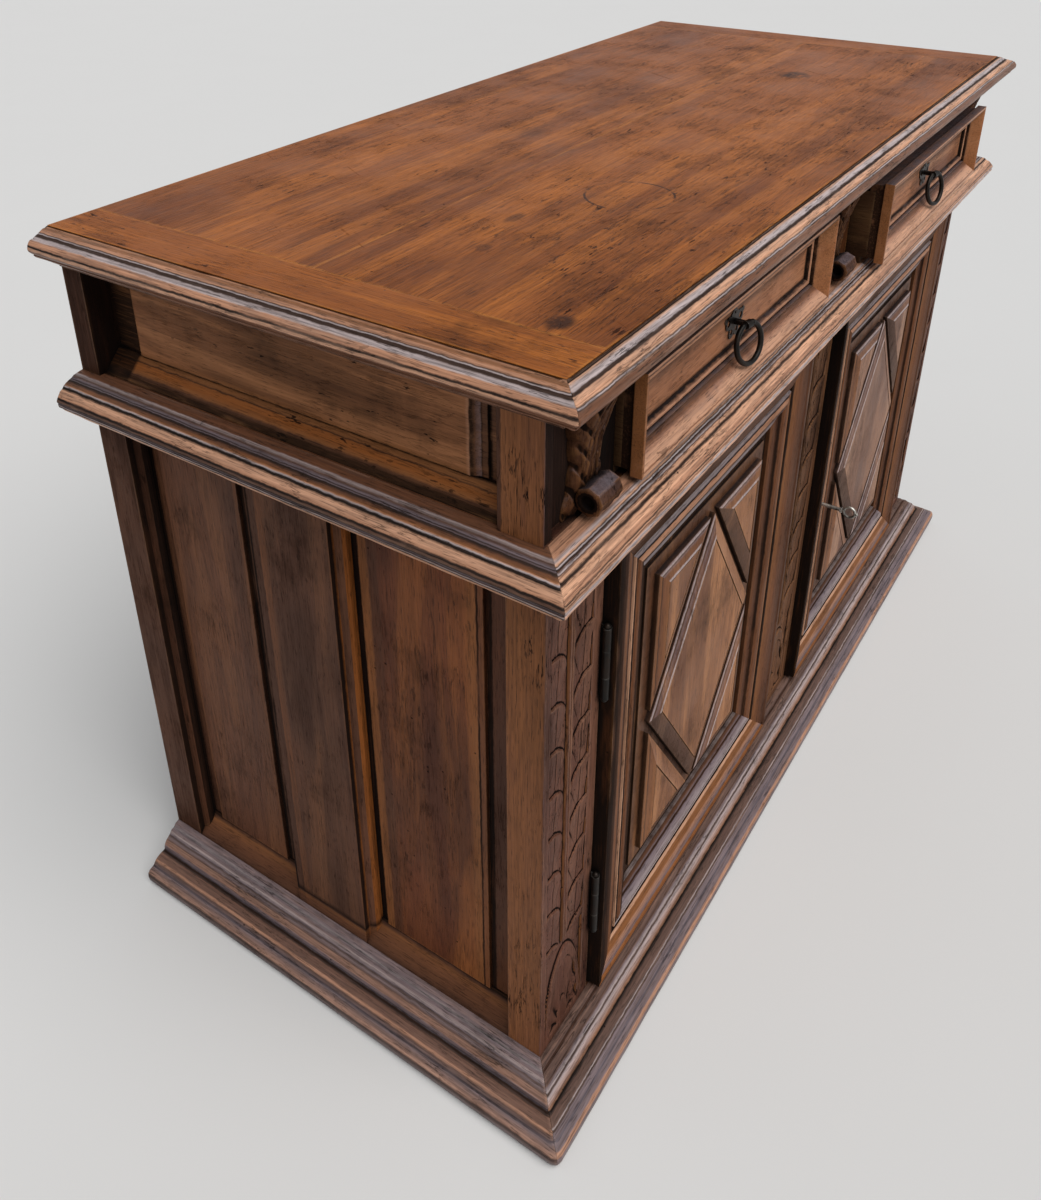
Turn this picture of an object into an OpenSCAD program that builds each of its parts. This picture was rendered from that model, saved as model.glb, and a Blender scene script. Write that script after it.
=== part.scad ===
// Credenza: a low two-door cupboard with two frieze drawers.
// The front faces -Y, the left side -X, and the floor is z = 0.

/* [Case] */
// Width of the case across its two sides
case_width = 1436; // [1390:2:1480]
// Depth from the front of the posts to the back
case_depth = 633; // [600:1:670]
// Height from the floor to the top surface
case_height = 1000; // [965:5:1035]

/* [Framing] */
// Width of each front corner post
post_width = 109; // [105:1:113]
// Depth of each front corner post
post_depth = 46; // [44:1:48]
// Side of the square back posts
back_post_size = 48; // [46:1:52]
// Width of the upright in the middle of each side
muntin_width = 120; // [104:2:136]
// Width of the upright between the doors
stile_width = 122; // [116:2:130]
// Depth of the side panels behind the side faces
panel_recess = 28; // [26:1:30]
// How far each flat panel field stands proud of its margin
field_rise = 5; // [3:1:6]

/* [Top] */
// Thickness of the top boards and end cleats
top_thickness = 27; // [24:1:29]
// Visible width of each end cleat
cleat_width = 65; // [50:1:90]
// Depth of the front top board
front_board_depth = 330; // [260:5:400]

/* [Doors] */
// How far the door frames stand in front of the posts
door_proud = 16; // [14:1:16]
// Space between a door and the upright beside it
door_gap = 5; // [4:0.5:6]
// Height that the raised lozenge and corners reach over the panel
ornament_rise = 12; // [9:1:13]
// Width of the sloped rim around each raised ornament
rim_width = 20; // [14:1:24]

/* [Drawers] */
// How far each drawer front stands in front of the posts
drawer_proud = 24; // [22:1:25]
// How far the right drawer stands open at rest
right_drawer_open = 22; // [0:1:40]
// Height of the drawer fronts
drawer_height = 114; // [111:1:116]
// Depth of the drawer boxes behind the fronts
drawer_depth = 555; // [440:5:555]
// Thickness of the drawer sides
drawer_side = 12; // [10:1:14]

/* [Hardware] */
// Outer diameter of the ring pulls
ring_diameter = 54; // [50:1:57]
// Thickness of the ring wire
ring_wire = 6.5; // [5.5:0.5:7]
// Angle that each ring stands turned from the drawer front
ring_turn = 11; // [0:1:12]
// Radial clearance of the ring, hinge and key bores
pin_clearance = 0.05; // [0.02:0.01:0.1]
// Outer diameter of the hinge barrels
hinge_barrel = 10; // [9:0.5:10]
// Diameter of the key shank
key_shank = 6; // [5:0.5:7]

/* [Hidden] */
$fn = 32;
half_width = case_width / 2;
base_reach = 67.6;
middle_depth = (case_depth - base_reach) / 2;
base_height = 70;
waist_top = case_height - 178;
waist_bottom = waist_top - 42;
frieze_top = case_height - 49;
slab_bottom = case_height - top_thickness;
bearing = 40;
cornice_forward = 10;

panel_front = half_width - panel_recess;
panel_rear = panel_front - 10;
frame_inside = panel_rear - 4;
panel_groove = 8;
field_front = panel_front + field_rise;
post_margin = 42;
muntin_margin = 19;
rear_muntin_margin = 40;
rear_post_margin = 25;
sill_rise = panel_recess;
sill_top = base_height + sill_rise;
post_inside = half_width - post_width;
muntin_middle = 330;
muntin_front = muntin_middle - muntin_width / 2;
muntin_back = muntin_front + muntin_width;
back_post_front = case_depth - back_post_size;
back_post_inside = half_width - back_post_size;
back_board = 12;
back_face = case_depth - back_board;
tenon = 12;
stile_half = stile_width / 2;

frieze_out = 6;
frieze_post_back = 50;
frieze_back_front = case_depth - 31;
frieze_margin = half_width - 30;
frieze_rear = frieze_margin - 10;
frieze_field = half_width - 22;
niche_face = 9;

drawer_bottom = waist_top + 6;
drawer_top = drawer_bottom + drawer_height;
drawer_body = 9;
drawer_lip = 13 - drawer_proud;
drawer_border = 34;
drawer_field = 1;
body_inset = 4;
side_play = 1.5;
ride = 0.3;
left_drawer_start = 131 - half_width;
left_drawer_end = -68;
right_drawer_start = 88;
right_drawer_end = half_width - 118;
left_niche = half_width - 131 - body_inset + side_play;
right_niche = half_width - 118 - body_inset + side_play;
divider_start = left_drawer_end - body_inset + side_play;
divider_end = right_drawer_start + body_inset - side_play;
drawer_side_top = drawer_top - 15;
stop_face = drawer_body + drawer_depth + side_play;

door_far = post_inside - 5;
door_near = stile_half + door_gap;
door_bottom = base_height + 4;
door_top = waist_bottom - 20;
door_back = 18;
door_stop = door_back + 0.5;
door_frame = 90;
plate_edge = door_frame - panel_groove;
plate_front = 7;
plate_rear = 14;
platform_front = 4;
platform_edge = door_frame + 14;
ornament_edge = door_frame + 32;
step_face = -3;
ornament_face = platform_front - ornament_rise;
ornament_gap = 10;

hinge_x = post_inside + 0.5;
hinge_y = -6.5;
hinge_radius = hinge_barrel / 2;
hinge_pin = 3;
mid_knuckle = 36;
knuckle_reach = 48.2;
knuckle_space = 0.2;
upper_hinge = waist_bottom - 172;
lower_hinge = 234;

pull_z = drawer_bottom + 62;
eye_y = -16;
eye_radius = 5;
eye_length = 9;
ring_lean = 10;
line_width = 1.6;
pin_radius = 2.5;
plate_thickness = 1.5;
ring_radius = (ring_diameter - ring_wire) / 2;
ring_drop = ring_radius - 2;
ring_pin_half = sqrt(ring_radius * ring_radius - ring_drop * ring_drop);

key_x = 110;
key_z = 402;
key_radius = key_shank / 2;
case_half = 40;
case_back = 38;
case_wall = 2;
bolt_low = key_z + 14;
bolt_high = bolt_low + 12;
bolt_front = 25;
bolt_rear = 32;
bolt_play = 0.3;

// The whole part is shifted so the middle of its footprint is the origin.
module place() {
    translate([0, -middle_depth, 0]) children();
}

module flip() {
    mirror([1, 0, 0]) children();
}

// A box given by its lowest and highest corners.
module block(low, high) {
    translate(low) cube([high[0] - low[0], high[1] - low[1], high[2] - low[2]]);
}

// A prism along X from a (y, z) outline.
module prism_x(x0, x1, outline) {
    translate([x0, 0, 0]) rotate([90, 0, 90]) linear_extrude(x1 - x0) polygon(outline);
}

// A prism along Y from an (x, z) outline.
module prism_y(y0, y1, outline) {
    translate([0, y1, 0]) rotate([90, 0, 0]) linear_extrude(y1 - y0) polygon(outline);
}

// A prism along Z from an (x, y) outline.
module prism_z(z0, z1, outline) {
    translate([0, 0, z0]) linear_extrude(z1 - z0) polygon(outline);
}

// A round bar along Y.
module bar_y(x, z, y0, y1, radius) {
    translate([x, y1, z]) rotate([90, 0, 0]) cylinder(h = y1 - y0, r = radius);
}

// Mouldings are outlines of (reach, height), with reach counted outward from the case.
base_outline = concat([[0, 0], [base_reach - 4, 0]],
    [for (p = [[66.6, -62], [67.6, -54], [66.6, -47], [64.6, -45], [55.6, -42], [49.6, -35],
    [40.6, -32], [35, -31.5], [32.6, -30.5], [31.6, -24], [26.6, -17], [25.4, -16.6], [19.6, -12],
    [18.6, -10.4], [16.6, -8], [15.6, -7], [10.6, -6], [6.6, -1], [0, 0]])
    [p[0], base_height + p[1]]]);

waist_outline = [for (p = [[0, -42], [39, -41.5], [41, -38], [43, -34], [46, -33], [47, -29.5],
    [46, -27.8], [47.6, -25], [45.6, -21], [40.6, -14], [37.4, -12.4], [36, -11], [33.6, -8],
    [28.6, -6], [27.6, -5.2], [22.6, -4], [21.6, -3.2], [19.6, -2], [13.6, -1], [5.6, 0],
    [0, 0]]) [p[0], waist_top + p[1]]];

// The cornice bears on the posts and holds the top in its rebate.
cornice_outline = [for (p = [[-bearing, -49], [9, -49], [9, -32], [34.6, -31], [37, -28],
    [36.4, -26.8], [38, -25.5], [42.6, -21], [42.6, -16], [39.6, -11], [35, -8.5], [33.4, -9.4],
    [32.6, -8], [30.6, -7], [27, -6], [20, -2], [17, -1.4], [15.6, -2], [13, 0],
    [13, -top_thickness], [-bearing, -top_thickness]]) [p[0], case_height + p[1]]];

mitre_far = 90;

// The front length of a moulding, mitred to the side lengths.
module front_length(outline, forward, inner) {
    span = half_width + mitre_far;
    intersection() {
        prism_x(-span, span, [for (p = outline) [p[0] > 0 ? -p[0] - forward : -p[0], p[1]]]);
        prism_z(-1, case_height + 1, [[-span, -mitre_far - forward], [span, -mitre_far - forward],
            [half_width - inner - forward, inner], [-half_width + inner + forward, inner]]);
    }
}

// The left length of a moulding, mitred in front and square at the back.
module side_length(outline, forward, inner) {
    intersection() {
        prism_y(-mitre_far - forward, case_depth, [for (p = outline) [-half_width - p[0], p[1]]]);
        prism_z(-1, case_height + 1, [[-half_width - mitre_far, -mitre_far - forward],
            [-half_width + inner, inner - forward], [-half_width + inner, case_depth + 1],
            [-half_width - mitre_far, case_depth + 1]]);
    }
}

module base_front() {
    color("#4a3020") place() front_length(base_outline, 0, 0);
}

module base_left() {
    color("#4a3020") place() side_length(base_outline, 0, 0);
}

module base_right() {
    color("#4a3020") flip() place() side_length(base_outline, 0, 0);
}

module waist_front() {
    color("#54372a") place() front_length(waist_outline, 0, 0);
}

module waist_left() {
    color("#54372a") place() side_length(waist_outline, 0, 0);
}

module waist_right() {
    color("#54372a") flip() place() side_length(waist_outline, 0, 0);
}

module cornice_front() {
    color("#5a3b2b") place() front_length(cornice_outline, cornice_forward, bearing);
}

module cornice_left() {
    color("#5a3b2b") place() side_length(cornice_outline, cornice_forward, bearing);
}

module cornice_right() {
    color("#5a3b2b") flip() place() side_length(cornice_outline, cornice_forward, bearing);
}

tongue_low = slab_bottom + 9;
tongue_high = slab_bottom + 18;
top_end = half_width + 13;
board_end = top_end - cleat_width;
top_front = -13 - cornice_forward;

// A board of the top, tongued into both end cleats.
module top_board(y0, y1) {
    place() {
        block([-board_end, y0, slab_bottom], [board_end, y1, case_height]);
        block([-board_end - 10, y0, tongue_low], [board_end + 10, y1, tongue_high]);
    }
}

module top_front_board() {
    color("#8a4f22") top_board(top_front, top_front + front_board_depth);
}

module top_rear_board() {
    color("#80481f") top_board(top_front + front_board_depth, case_depth);
}

// An end cleat, grooved for the tongues of the boards.
module cleat() {
    place() difference() {
        block([-top_end, top_front, slab_bottom], [-board_end, case_depth, case_height]);
        block([-board_end - 10, top_front - 1, tongue_low],
            [-board_end + 1, case_depth + 1, tongue_high]);
    }
}

module left_cleat() {
    color("#8f5524") cleat();
}

module right_cleat() {
    color("#8f5524") flip() cleat();
}

sill_outline = [[-half_width, 0], [-half_width, base_height - 1], [-half_width + 2, base_height],
    [-panel_front - 2, sill_top], [-frame_inside, sill_top], [-frame_inside, 0]];

// The small moulding worked on an upright where it meets a side panel.
module upright_moulding(y, side) {
    difference() {
        prism_z(base_height, waist_bottom, [for (p = [[8, -1], [9, 1], [10, 4], [13, 7.5], [18, 9],
            [22, 8.5], [25, 6.5], [panel_recess, 6.5], [panel_recess, -1]])
            [-half_width + p[0], y + side * p[1]]]);
        prism_y(y - 20, y + 20, sill_outline);
    }
}

low_tenon = [14, 60];
high_tenon = [waist_top - 34, waist_top - 8];
tenon_face = half_width - 12;
tenon_rear = half_width - 26;

// The mortises that take the tenons of a side frame.
module side_mortises(y0, y1) {
    block([-tenon_face, y0, low_tenon[0]], [-tenon_rear, y1, low_tenon[1]]);
    block([-tenon_face, y0, high_tenon[0]], [-tenon_rear, y1, high_tenon[1]]);
}

rail_tenon = [12, 30];
bottom_tenon = [20, 60];
top_tenon = [waist_top - 50, waist_top - 12];

// A front corner post, with the recess for a corbel above the waist.
module front_post(niche_end) {
    difference() {
        union() {
            block([-half_width, 0, 0], [-post_inside, post_depth, waist_top]);
            block([-half_width - frieze_out, niche_face, waist_top],
                [-niche_end, frieze_post_back, frieze_top]);
            block([-half_width - frieze_out, 0, waist_top],
                [-half_width + frieze_out, frieze_post_back, frieze_top]);
            upright_moulding(post_depth, 1);
        }
        side_mortises(post_depth - tenon, post_depth + 1);
        block([-panel_front, post_depth - panel_groove, sill_top - panel_groove],
            [-panel_rear, post_depth + 1, waist_bottom + panel_groove]);
        block([-frieze_margin, frieze_post_back - panel_groove, waist_top],
            [-frieze_rear, frieze_post_back + 1, frieze_top + 1]);
        block([-post_inside - tenon, rail_tenon[0], bottom_tenon[0]],
            [-post_inside + 1, rail_tenon[1], bottom_tenon[1]]);
        block([-post_inside - tenon, rail_tenon[0], top_tenon[0]],
            [-post_inside + 1, rail_tenon[1], top_tenon[1]]);
    }
}

module front_left_post() {
    color("#5c3a28") place() front_post(left_niche);
}

module front_right_post() {
    color("#5c3a28") flip() place() front_post(right_niche);
}

module back_post() {
    place() difference() {
        union() {
            block([-half_width, back_post_front, 0], [-back_post_inside, case_depth, waist_top]);
            block([-half_width - frieze_out, frieze_back_front, waist_top],
                [-frame_inside, case_depth, frieze_top]);
            upright_moulding(back_post_front, -1);
        }
        side_mortises(back_post_front - 1, back_post_front + tenon);
        block([-panel_front, back_post_front - 1, sill_top - panel_groove],
            [-panel_rear, back_post_front + panel_groove, waist_bottom + panel_groove]);
        block([-frieze_margin, frieze_back_front - 1, waist_top],
            [-frieze_rear, frieze_back_front + panel_groove, frieze_top + 1]);
    }
}

module back_left_post() {
    color("#4b3024") back_post();
}

module back_right_post() {
    color("#4b3024") flip() back_post();
}

board_tongue = frame_inside + 8;
bottom_low = 52;
bottom_high = 70;
dust_low = waist_top - 18;

// The two rails and the upright of one side, framed together.
module side_frame() {
    place() difference() {
        union() {
            prism_y(post_depth, back_post_front, sill_outline);
            block([-half_width, post_depth, waist_bottom], [-frame_inside, back_post_front, waist_top]);
            block([-half_width, muntin_front, base_height], [-frame_inside, muntin_back, waist_bottom]);
            upright_moulding(muntin_front, -1);
            upright_moulding(muntin_back, 1);
            side_mortises(post_depth - tenon, back_post_front + tenon);
        }
        for (span = [[post_depth - 1, muntin_front + panel_groove],
            [muntin_back - panel_groove, back_post_front + 1]])
            block([-panel_front, span[0], sill_top - panel_groove],
                [-panel_rear, span[1], waist_bottom + panel_groove]);
        block([-board_tongue, post_depth - 1, bottom_low + 4],
            [-frame_inside + 1, back_post_front + 1, bottom_high - 4]);
        block([-board_tongue, post_depth - 1, dust_low + 4],
            [-frame_inside + 1, back_post_front + 1, waist_top - 4]);
    }
}

module left_side_frame() {
    color("#553728") side_frame();
}

module right_side_frame() {
    color("#553728") flip() side_frame();
}

// A side panel held in the grooves of its frame, with a raised flat field.
module side_panel(y0, y1, front_margin, rear_margin) {
    place() {
        block([-panel_front, y0 - panel_groove, sill_top - panel_groove],
            [-panel_rear, y1 + panel_groove, waist_bottom + panel_groove]);
        block([-field_front, y0 + front_margin, sill_top],
            [-panel_front + 1, y1 - rear_margin, waist_bottom]);
    }
}

module left_front_panel() {
    color("#5a3b2c") side_panel(post_depth, muntin_front, post_margin, muntin_margin);
}

module left_rear_panel() {
    color("#4f3427") side_panel(muntin_back, back_post_front, rear_muntin_margin, rear_post_margin);
}

module right_front_panel() {
    color("#5a3b2c") flip() side_panel(post_depth, muntin_front, post_margin, muntin_margin);
}

module right_rear_panel() {
    color("#4f3427") flip()
        side_panel(muntin_back, back_post_front, rear_muntin_margin, rear_post_margin);
}

frieze_start = frieze_post_back + 31;
frieze_end = frieze_back_front - 37;

// The drawer-height board of one side, with its sloped sill and raised field.
module frieze_board() {
    place() {
        block([-frieze_margin, frieze_post_back - panel_groove, waist_top],
            [-frieze_rear, frieze_back_front + panel_groove, frieze_top]);
        prism_y(frieze_post_back, frieze_back_front, [[-half_width + 2, waist_top],
            [-frieze_margin - 4, waist_top + 24], [-frieze_margin + 1, waist_top + 24],
            [-frieze_margin + 1, waist_top]]);
        prism_z(waist_top + 26, frieze_top, [[-frieze_margin + 1, frieze_start],
            [-frieze_margin - 2.5, frieze_start + 1], [-frieze_margin - 3, frieze_start + 9],
            [-frieze_margin - 7, frieze_start + 16],
            [-frieze_field, frieze_start + 19], [-frieze_field, frieze_end - 8],
            [-frieze_margin - 5, frieze_end - 3], [-frieze_margin + 1, frieze_end]]);
    }
}

module left_frieze_board() {
    color("#6b4430") frieze_board();
}

module right_frieze_board() {
    color("#6b4430") flip() frieze_board();
}

module front_bottom_rail() {
    color("#3c281c") place() difference() {
        union() {
            block([-post_inside, 0, 0], [post_inside, post_depth, base_height]);
            block([-post_inside - tenon, rail_tenon[0], bottom_tenon[0]],
                [post_inside + tenon, rail_tenon[1], bottom_tenon[1]]);
            for (side = [-1, 1])
                block([min(side * stile_half, side * post_inside), door_stop, base_height - 1],
                    [max(side * stile_half, side * post_inside), post_depth, base_height + 12]);
        }
        stile_tenons();
    }
}

module front_top_rail() {
    color("#4a3124") place() difference() {
        union() {
            block([-post_inside, 0, door_top + 2], [post_inside, post_depth, waist_top]);
            block([-post_inside - tenon, rail_tenon[0], top_tenon[0]],
                [post_inside + tenon, rail_tenon[1], top_tenon[1]]);
            for (side = [-1, 1])
                block([min(side * stile_half, side * post_inside), door_stop, door_top - 8],
                    [max(side * stile_half, side * post_inside), post_depth, door_top + 3]);
        }
        stile_tenons();
        divider_tenon();
    }
}

module stile_tenons() {
    block([-stile_half + 20, 12, base_height - tenon], [stile_half - 20, 28, door_top + 2 + tenon]);
}

module divider_tenon() {
    block([divider_start + 50, 20, waist_top - tenon], [divider_end - 50, 36, waist_top + 1]);
}

// The upright between the doors, mortised for the lock bolt.
module centre_stile() {
    color("#5a3a2a") place() difference() {
        union() {
            block([-stile_half, 0, base_height], [stile_half, 40, door_top + 2]);
            stile_tenons();
        }
        block([stile_half - 10, bolt_front - 0.5, bolt_low - 0.5],
            [stile_half + 1, bolt_rear + 0.5, bolt_high + 0.5]);
    }
}

module frieze_divider() {
    color("#50352a") place() {
        block([divider_start, niche_face, waist_top], [divider_end, frieze_post_back, frieze_top]);
        divider_tenon();
    }
}

// A scrolled bracket: flared leaf foot, slim neck, full head and a volute.
module corbel(x) {
    color("#6a4532") place() difference() {
        union() {
            hull() {
                block([x - 36, niche_face - 2, waist_top], [x + 36, niche_face, waist_top + 30]);
                block([x - 24, -4, waist_top + 4], [x + 24, niche_face, waist_top + 44]);
            }
            hull() {
                block([x - 22, -4, waist_top + 20], [x + 22, niche_face, waist_top + 50]);
                block([x - 26, -12, waist_top + 70], [x + 26, niche_face, waist_top + 88]);
            }
            hull() {
                block([x - 26, -12, waist_top + 70], [x + 26, niche_face, waist_top + 88]);
                block([x - 30, -26, frieze_top - 16], [x + 30, niche_face, frieze_top]);
            }
            translate([x - 21, -12, waist_top + 22]) rotate([0, 90, 0]) cylinder(h = 42, r = 16);
        }
        for (side = [-1, 1])
            translate([x + side * 21, -12, waist_top + 22]) rotate([0, 90, 0])
                cylinder(h = 12, r = 7, center = true);
    }
}

module left_corbel() {
    corbel(68 - half_width);
}

module centre_corbel() {
    corbel(10);
}

module right_corbel() {
    corbel(half_width - 58);
}

// The floor of the drawers, tongued into the side frames.
module dust_board() {
    color("#7a5537") place() difference() {
        union() {
            block([-frame_inside, post_depth, dust_low], [frame_inside, back_face, waist_top]);
            block([-board_tongue, post_depth, dust_low + 4], [board_tongue, back_face, waist_top - 4]);
        }
        back_corners();
    }
}

// The floor of the cupboard, tongued into the side frames.
module bottom_board() {
    color("#7a5537") place() difference() {
        union() {
            block([-frame_inside, post_depth, bottom_low], [frame_inside, back_face, bottom_high]);
            block([-board_tongue, post_depth, bottom_low + 4],
                [board_tongue, back_face, bottom_high - 4]);
        }
        back_corners();
    }
}

module back_corners() {
    for (side = [-1, 1])
        block([side > 0 ? back_post_inside : -half_width, back_post_front, 0],
            [side > 0 ? half_width : -back_post_inside, case_depth, case_height]);
}

guide_high = waist_top + 20;

// A guide beside a drawer, with the block that stops the drawer at its back.
module side_guide(edge) {
    color("#7d5838") place() {
        block([-edge - 16, frieze_post_back, waist_top], [-edge, back_face, guide_high]);
        block([-edge - 1, stop_face, waist_top], [-edge + 30, back_face, guide_high]);
    }
}

module left_guide() {
    side_guide(left_niche);
}

module right_guide() {
    flip() side_guide(right_niche);
}

module centre_guide() {
    color("#7d5838") place() {
        block([divider_start, frieze_post_back, waist_top], [divider_end, back_face, guide_high]);
        block([divider_start - 30, stop_face, waist_top], [divider_end + 30, back_face, guide_high]);
    }
}

module lower_back_board() {
    color("#5a4230") place()
        block([-back_post_inside, back_face, 10], [back_post_inside, case_depth, waist_top]);
}

module upper_back_board() {
    color("#5a4230") place()
        block([-frame_inside, back_face, waist_top], [frame_inside, case_depth, slab_bottom]);
}

// Four mitred lengths with one (distance, y) outline around a rectangle.
module mitred_frame(x0, x1, z0, z1, reach, outline) {
    intersection() {
        prism_x(x0, x1, [for (p = outline) [p[1], z0 + p[0]]]);
        prism_y(-99, 99, [[x0, z0], [x1, z0], [x1 - reach, z0 + reach], [x0 + reach, z0 + reach]]);
    }
    intersection() {
        prism_x(x0, x1, [for (p = outline) [p[1], z1 - p[0]]]);
        prism_y(-99, 99, [[x0, z1], [x0 + reach, z1 - reach], [x1 - reach, z1 - reach], [x1, z1]]);
    }
    intersection() {
        prism_z(z0, z1, [for (p = outline) [x0 + p[0], p[1]]]);
        prism_y(-99, 99, [[x0, z0], [x0 + reach, z0 + reach], [x0 + reach, z1 - reach], [x0, z1]]);
    }
    intersection() {
        prism_z(z0, z1, [for (p = outline) [x1 - p[0], p[1]]]);
        prism_y(-99, 99, [[x1, z0], [x1, z1], [x1 - reach, z1 - reach], [x1 - reach, z0 + reach]]);
    }
}

// Stands the right drawer and what it carries a little open.
module ajar() {
    translate([0, -right_drawer_open, 0]) children();
}

drawer_outline = [[0, drawer_lip], [0, -drawer_proud], [4, -drawer_proud], [7, -22],
    [12, -17], [17, -12], [21, -9], [23.4, -8], [24, -1.5], [25.6, -1.5], [26, -3], [27.6, -4.6],
    [30, -5], [32, -3.6], [33, -1.2], [drawer_border, drawer_field],
    [drawer_border, drawer_field + 2], [body_inset, drawer_field + 2], [body_inset, drawer_lip]];

bottom_panel_low = drawer_bottom + 8;
bottom_panel_high = bottom_panel_low + 6;
slot = 5;

// A drawer front: mitred moulding around a sunk field, rebated for the sides.
module drawer_front(x0, x1) {
    color("#6e4630") place() difference() {
        union() {
            mitred_frame(x0, x1, drawer_bottom, drawer_top, drawer_border, drawer_outline);
            block([x0 + drawer_border - 0.5, drawer_field, drawer_bottom + drawer_border - 0.5],
                [x1 - drawer_border + 0.5, drawer_field + 2, drawer_top - drawer_border + 0.5]);
            block([x0 + body_inset, drawer_field + 1, drawer_bottom + body_inset],
                [x1 - body_inset, drawer_body, drawer_top - body_inset]);
        }
        for (x = [x0 + body_inset - 1, x1 - body_inset - drawer_side])
            block([x, 1, waist_top], [x + drawer_side + 1, drawer_body + 1, drawer_side_top]);
        block([x0 + body_inset, drawer_body - slot, bottom_panel_low],
            [x1 - body_inset, drawer_body + 1, bottom_panel_high]);
    }
}

drawer_back = drawer_body + drawer_depth;

// The sides and back of a drawer, grooved for its bottom.
module drawer_box(x0, x1) {
    color("#8c6542") place() difference() {
        union() {
            for (x = [x0 + body_inset, x1 - body_inset - drawer_side]) {
                block([x, 1, drawer_bottom + body_inset],
                    [x + drawer_side, drawer_body + 1, drawer_side_top]);
                block([x, drawer_body, waist_top + ride],
                    [x + drawer_side, drawer_back, drawer_side_top]);
            }
            block([x0 + body_inset + drawer_side - 1, drawer_back - drawer_side, bottom_panel_high],
                [x1 - body_inset - drawer_side + 1, drawer_back, drawer_side_top]);
        }
        block([x0 + body_inset + drawer_side - slot, drawer_body - slot, bottom_panel_low],
            [x1 - body_inset - drawer_side + slot, drawer_back + 1, bottom_panel_high]);
    }
}

module drawer_base(x0, x1) {
    color("#a07a50") place()
        block([x0 + body_inset + drawer_side - slot, drawer_body - slot, bottom_panel_low],
            [x1 - body_inset - drawer_side + slot, drawer_back, bottom_panel_high]);
}

module left_drawer_front() {
    drawer_front(left_drawer_start, left_drawer_end);
}

module left_drawer_box() {
    drawer_box(left_drawer_start, left_drawer_end);
}

module left_drawer_bottom() {
    drawer_base(left_drawer_start, left_drawer_end);
}

module right_drawer_front() {
    ajar() drawer_front(right_drawer_start, right_drawer_end);
}

module right_drawer_box() {
    ajar() drawer_box(right_drawer_start, right_drawer_end);
}

module right_drawer_bottom() {
    ajar() drawer_base(right_drawer_start, right_drawer_end);
}

left_pull = (left_drawer_start + left_drawer_end) / 2;
right_pull = (right_drawer_start + right_drawer_end) / 2;

// A pierced iron plate with a staple whose eye holds the ring.
module pull_plate(x) {
    color("#2a2623") place() {
        translate([x, drawer_field, pull_z]) rotate([90, 0, 0])
            linear_extrude(plate_thickness) difference() {
            union() {
                circle(14);
                for (side = [-1, 1]) {
                    translate([side * 15, 2]) circle(8);
                    translate([side * 23, 7]) circle(3);
                    translate([side * 7, -13]) circle(6);
                }
                translate([-4, 9]) square([8, 6]);
                translate([0, 13.6]) circle(3.6);
            }
            for (side = [-1, 1]) {
                translate([side * 16, 2]) circle(4);
                translate([side * 7, -11]) circle(3.4);
            }
            translate([0, 11]) circle(2.2);
        }
        difference() {
            union() {
                block([x - 2.5, eye_y + 1, pull_z - 3], [x + 2.5, drawer_field - 1, pull_z + 3]);
                translate([x, eye_y, pull_z]) rotate([0, 90, -ring_turn])
                    cylinder(h = eye_length, r = eye_radius, center = true);
            }
            translate([x, eye_y, pull_z]) rotate([0, 90, -ring_turn])
                cylinder(h = eye_length * 4, r = pin_radius + pin_clearance, center = true);
        }
    }
}

module left_pull_plate() {
    pull_plate(left_pull);
}

module right_pull_plate() {
    ajar() pull_plate(right_pull);
}

// A ring whose straight pin turns in the eye of its plate.
module ring_pull(x) {
    gap = atan2(ring_pin_half, ring_drop);
    color("#1f1c1a") place() translate([x, eye_y, pull_z]) rotate([0, 0, -ring_turn])
        rotate([-ring_lean, 0, 0]) {
        rotate([0, 90, 0]) cylinder(h = 2 * ring_pin_half, r = pin_radius, center = true);
        translate([0, 0, -ring_drop]) rotate([90, 0, 0]) rotate([0, 0, 90 + gap])
            rotate_extrude(angle = 360 - 2 * gap, $fn = 64) translate([ring_radius, 0])
                circle(d = ring_wire, $fn = 20);
        for (side = [-1, 1])
            translate([side * ring_pin_half, 0, 0]) sphere(d = ring_wire + 0.5, $fn = 20);
    }
}

module left_ring() {
    ring_pull(left_pull);
}

module right_ring() {
    ajar() ring_pull(right_pull);
}

door_outline = [[0, door_back], [0, -door_proud], [6, -door_proud], [9, -14.4], [16, -13.4],
    [26, -11.6], [36, -9], [43, -7], [46.6, -6.4], [47.4, -3.6], [50.6, -3.6], [51.2, -7], [58, -7],
    [60, -8.2], [64, -8.6], [69, -7.4], [74, -4.4], [79, -1.4], [85, 0], [door_frame, 2],
    [door_frame, door_back]];

// The moulded frame of a door, mitred at the corners and grooved for its panel.
module door_frame_body() {
    place() difference() {
        mitred_frame(-door_far, -door_near, door_bottom, door_top, door_frame, door_outline);
        block([-door_far + plate_edge, plate_front, door_bottom + plate_edge],
            [-door_near - plate_edge, plate_rear, door_top - plate_edge]);
    }
}

// A raised convex shape with a vertical step, a sloped rim and a sunk line around its field.
module raised(outline, centre, inradius) {
    rim = (inradius - rim_width) / inradius;
    line = (inradius - rim_width - line_width) / inradius;
    translate([centre[0], platform_front, centre[1]]) rotate([90, 0, 0]) {
        linear_extrude(platform_front - step_face) polygon(outline);
        difference() {
            translate([0, 0, platform_front - step_face])
                linear_extrude(step_face - ornament_face, scale = rim) polygon(outline);
            translate([0, 0, platform_front - ornament_face - 1.4])
                linear_extrude(3) scale(rim) polygon(outline);
        }
        linear_extrude(platform_front - ornament_face - 0.4) scale(line) polygon(outline);
    }
}

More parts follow.
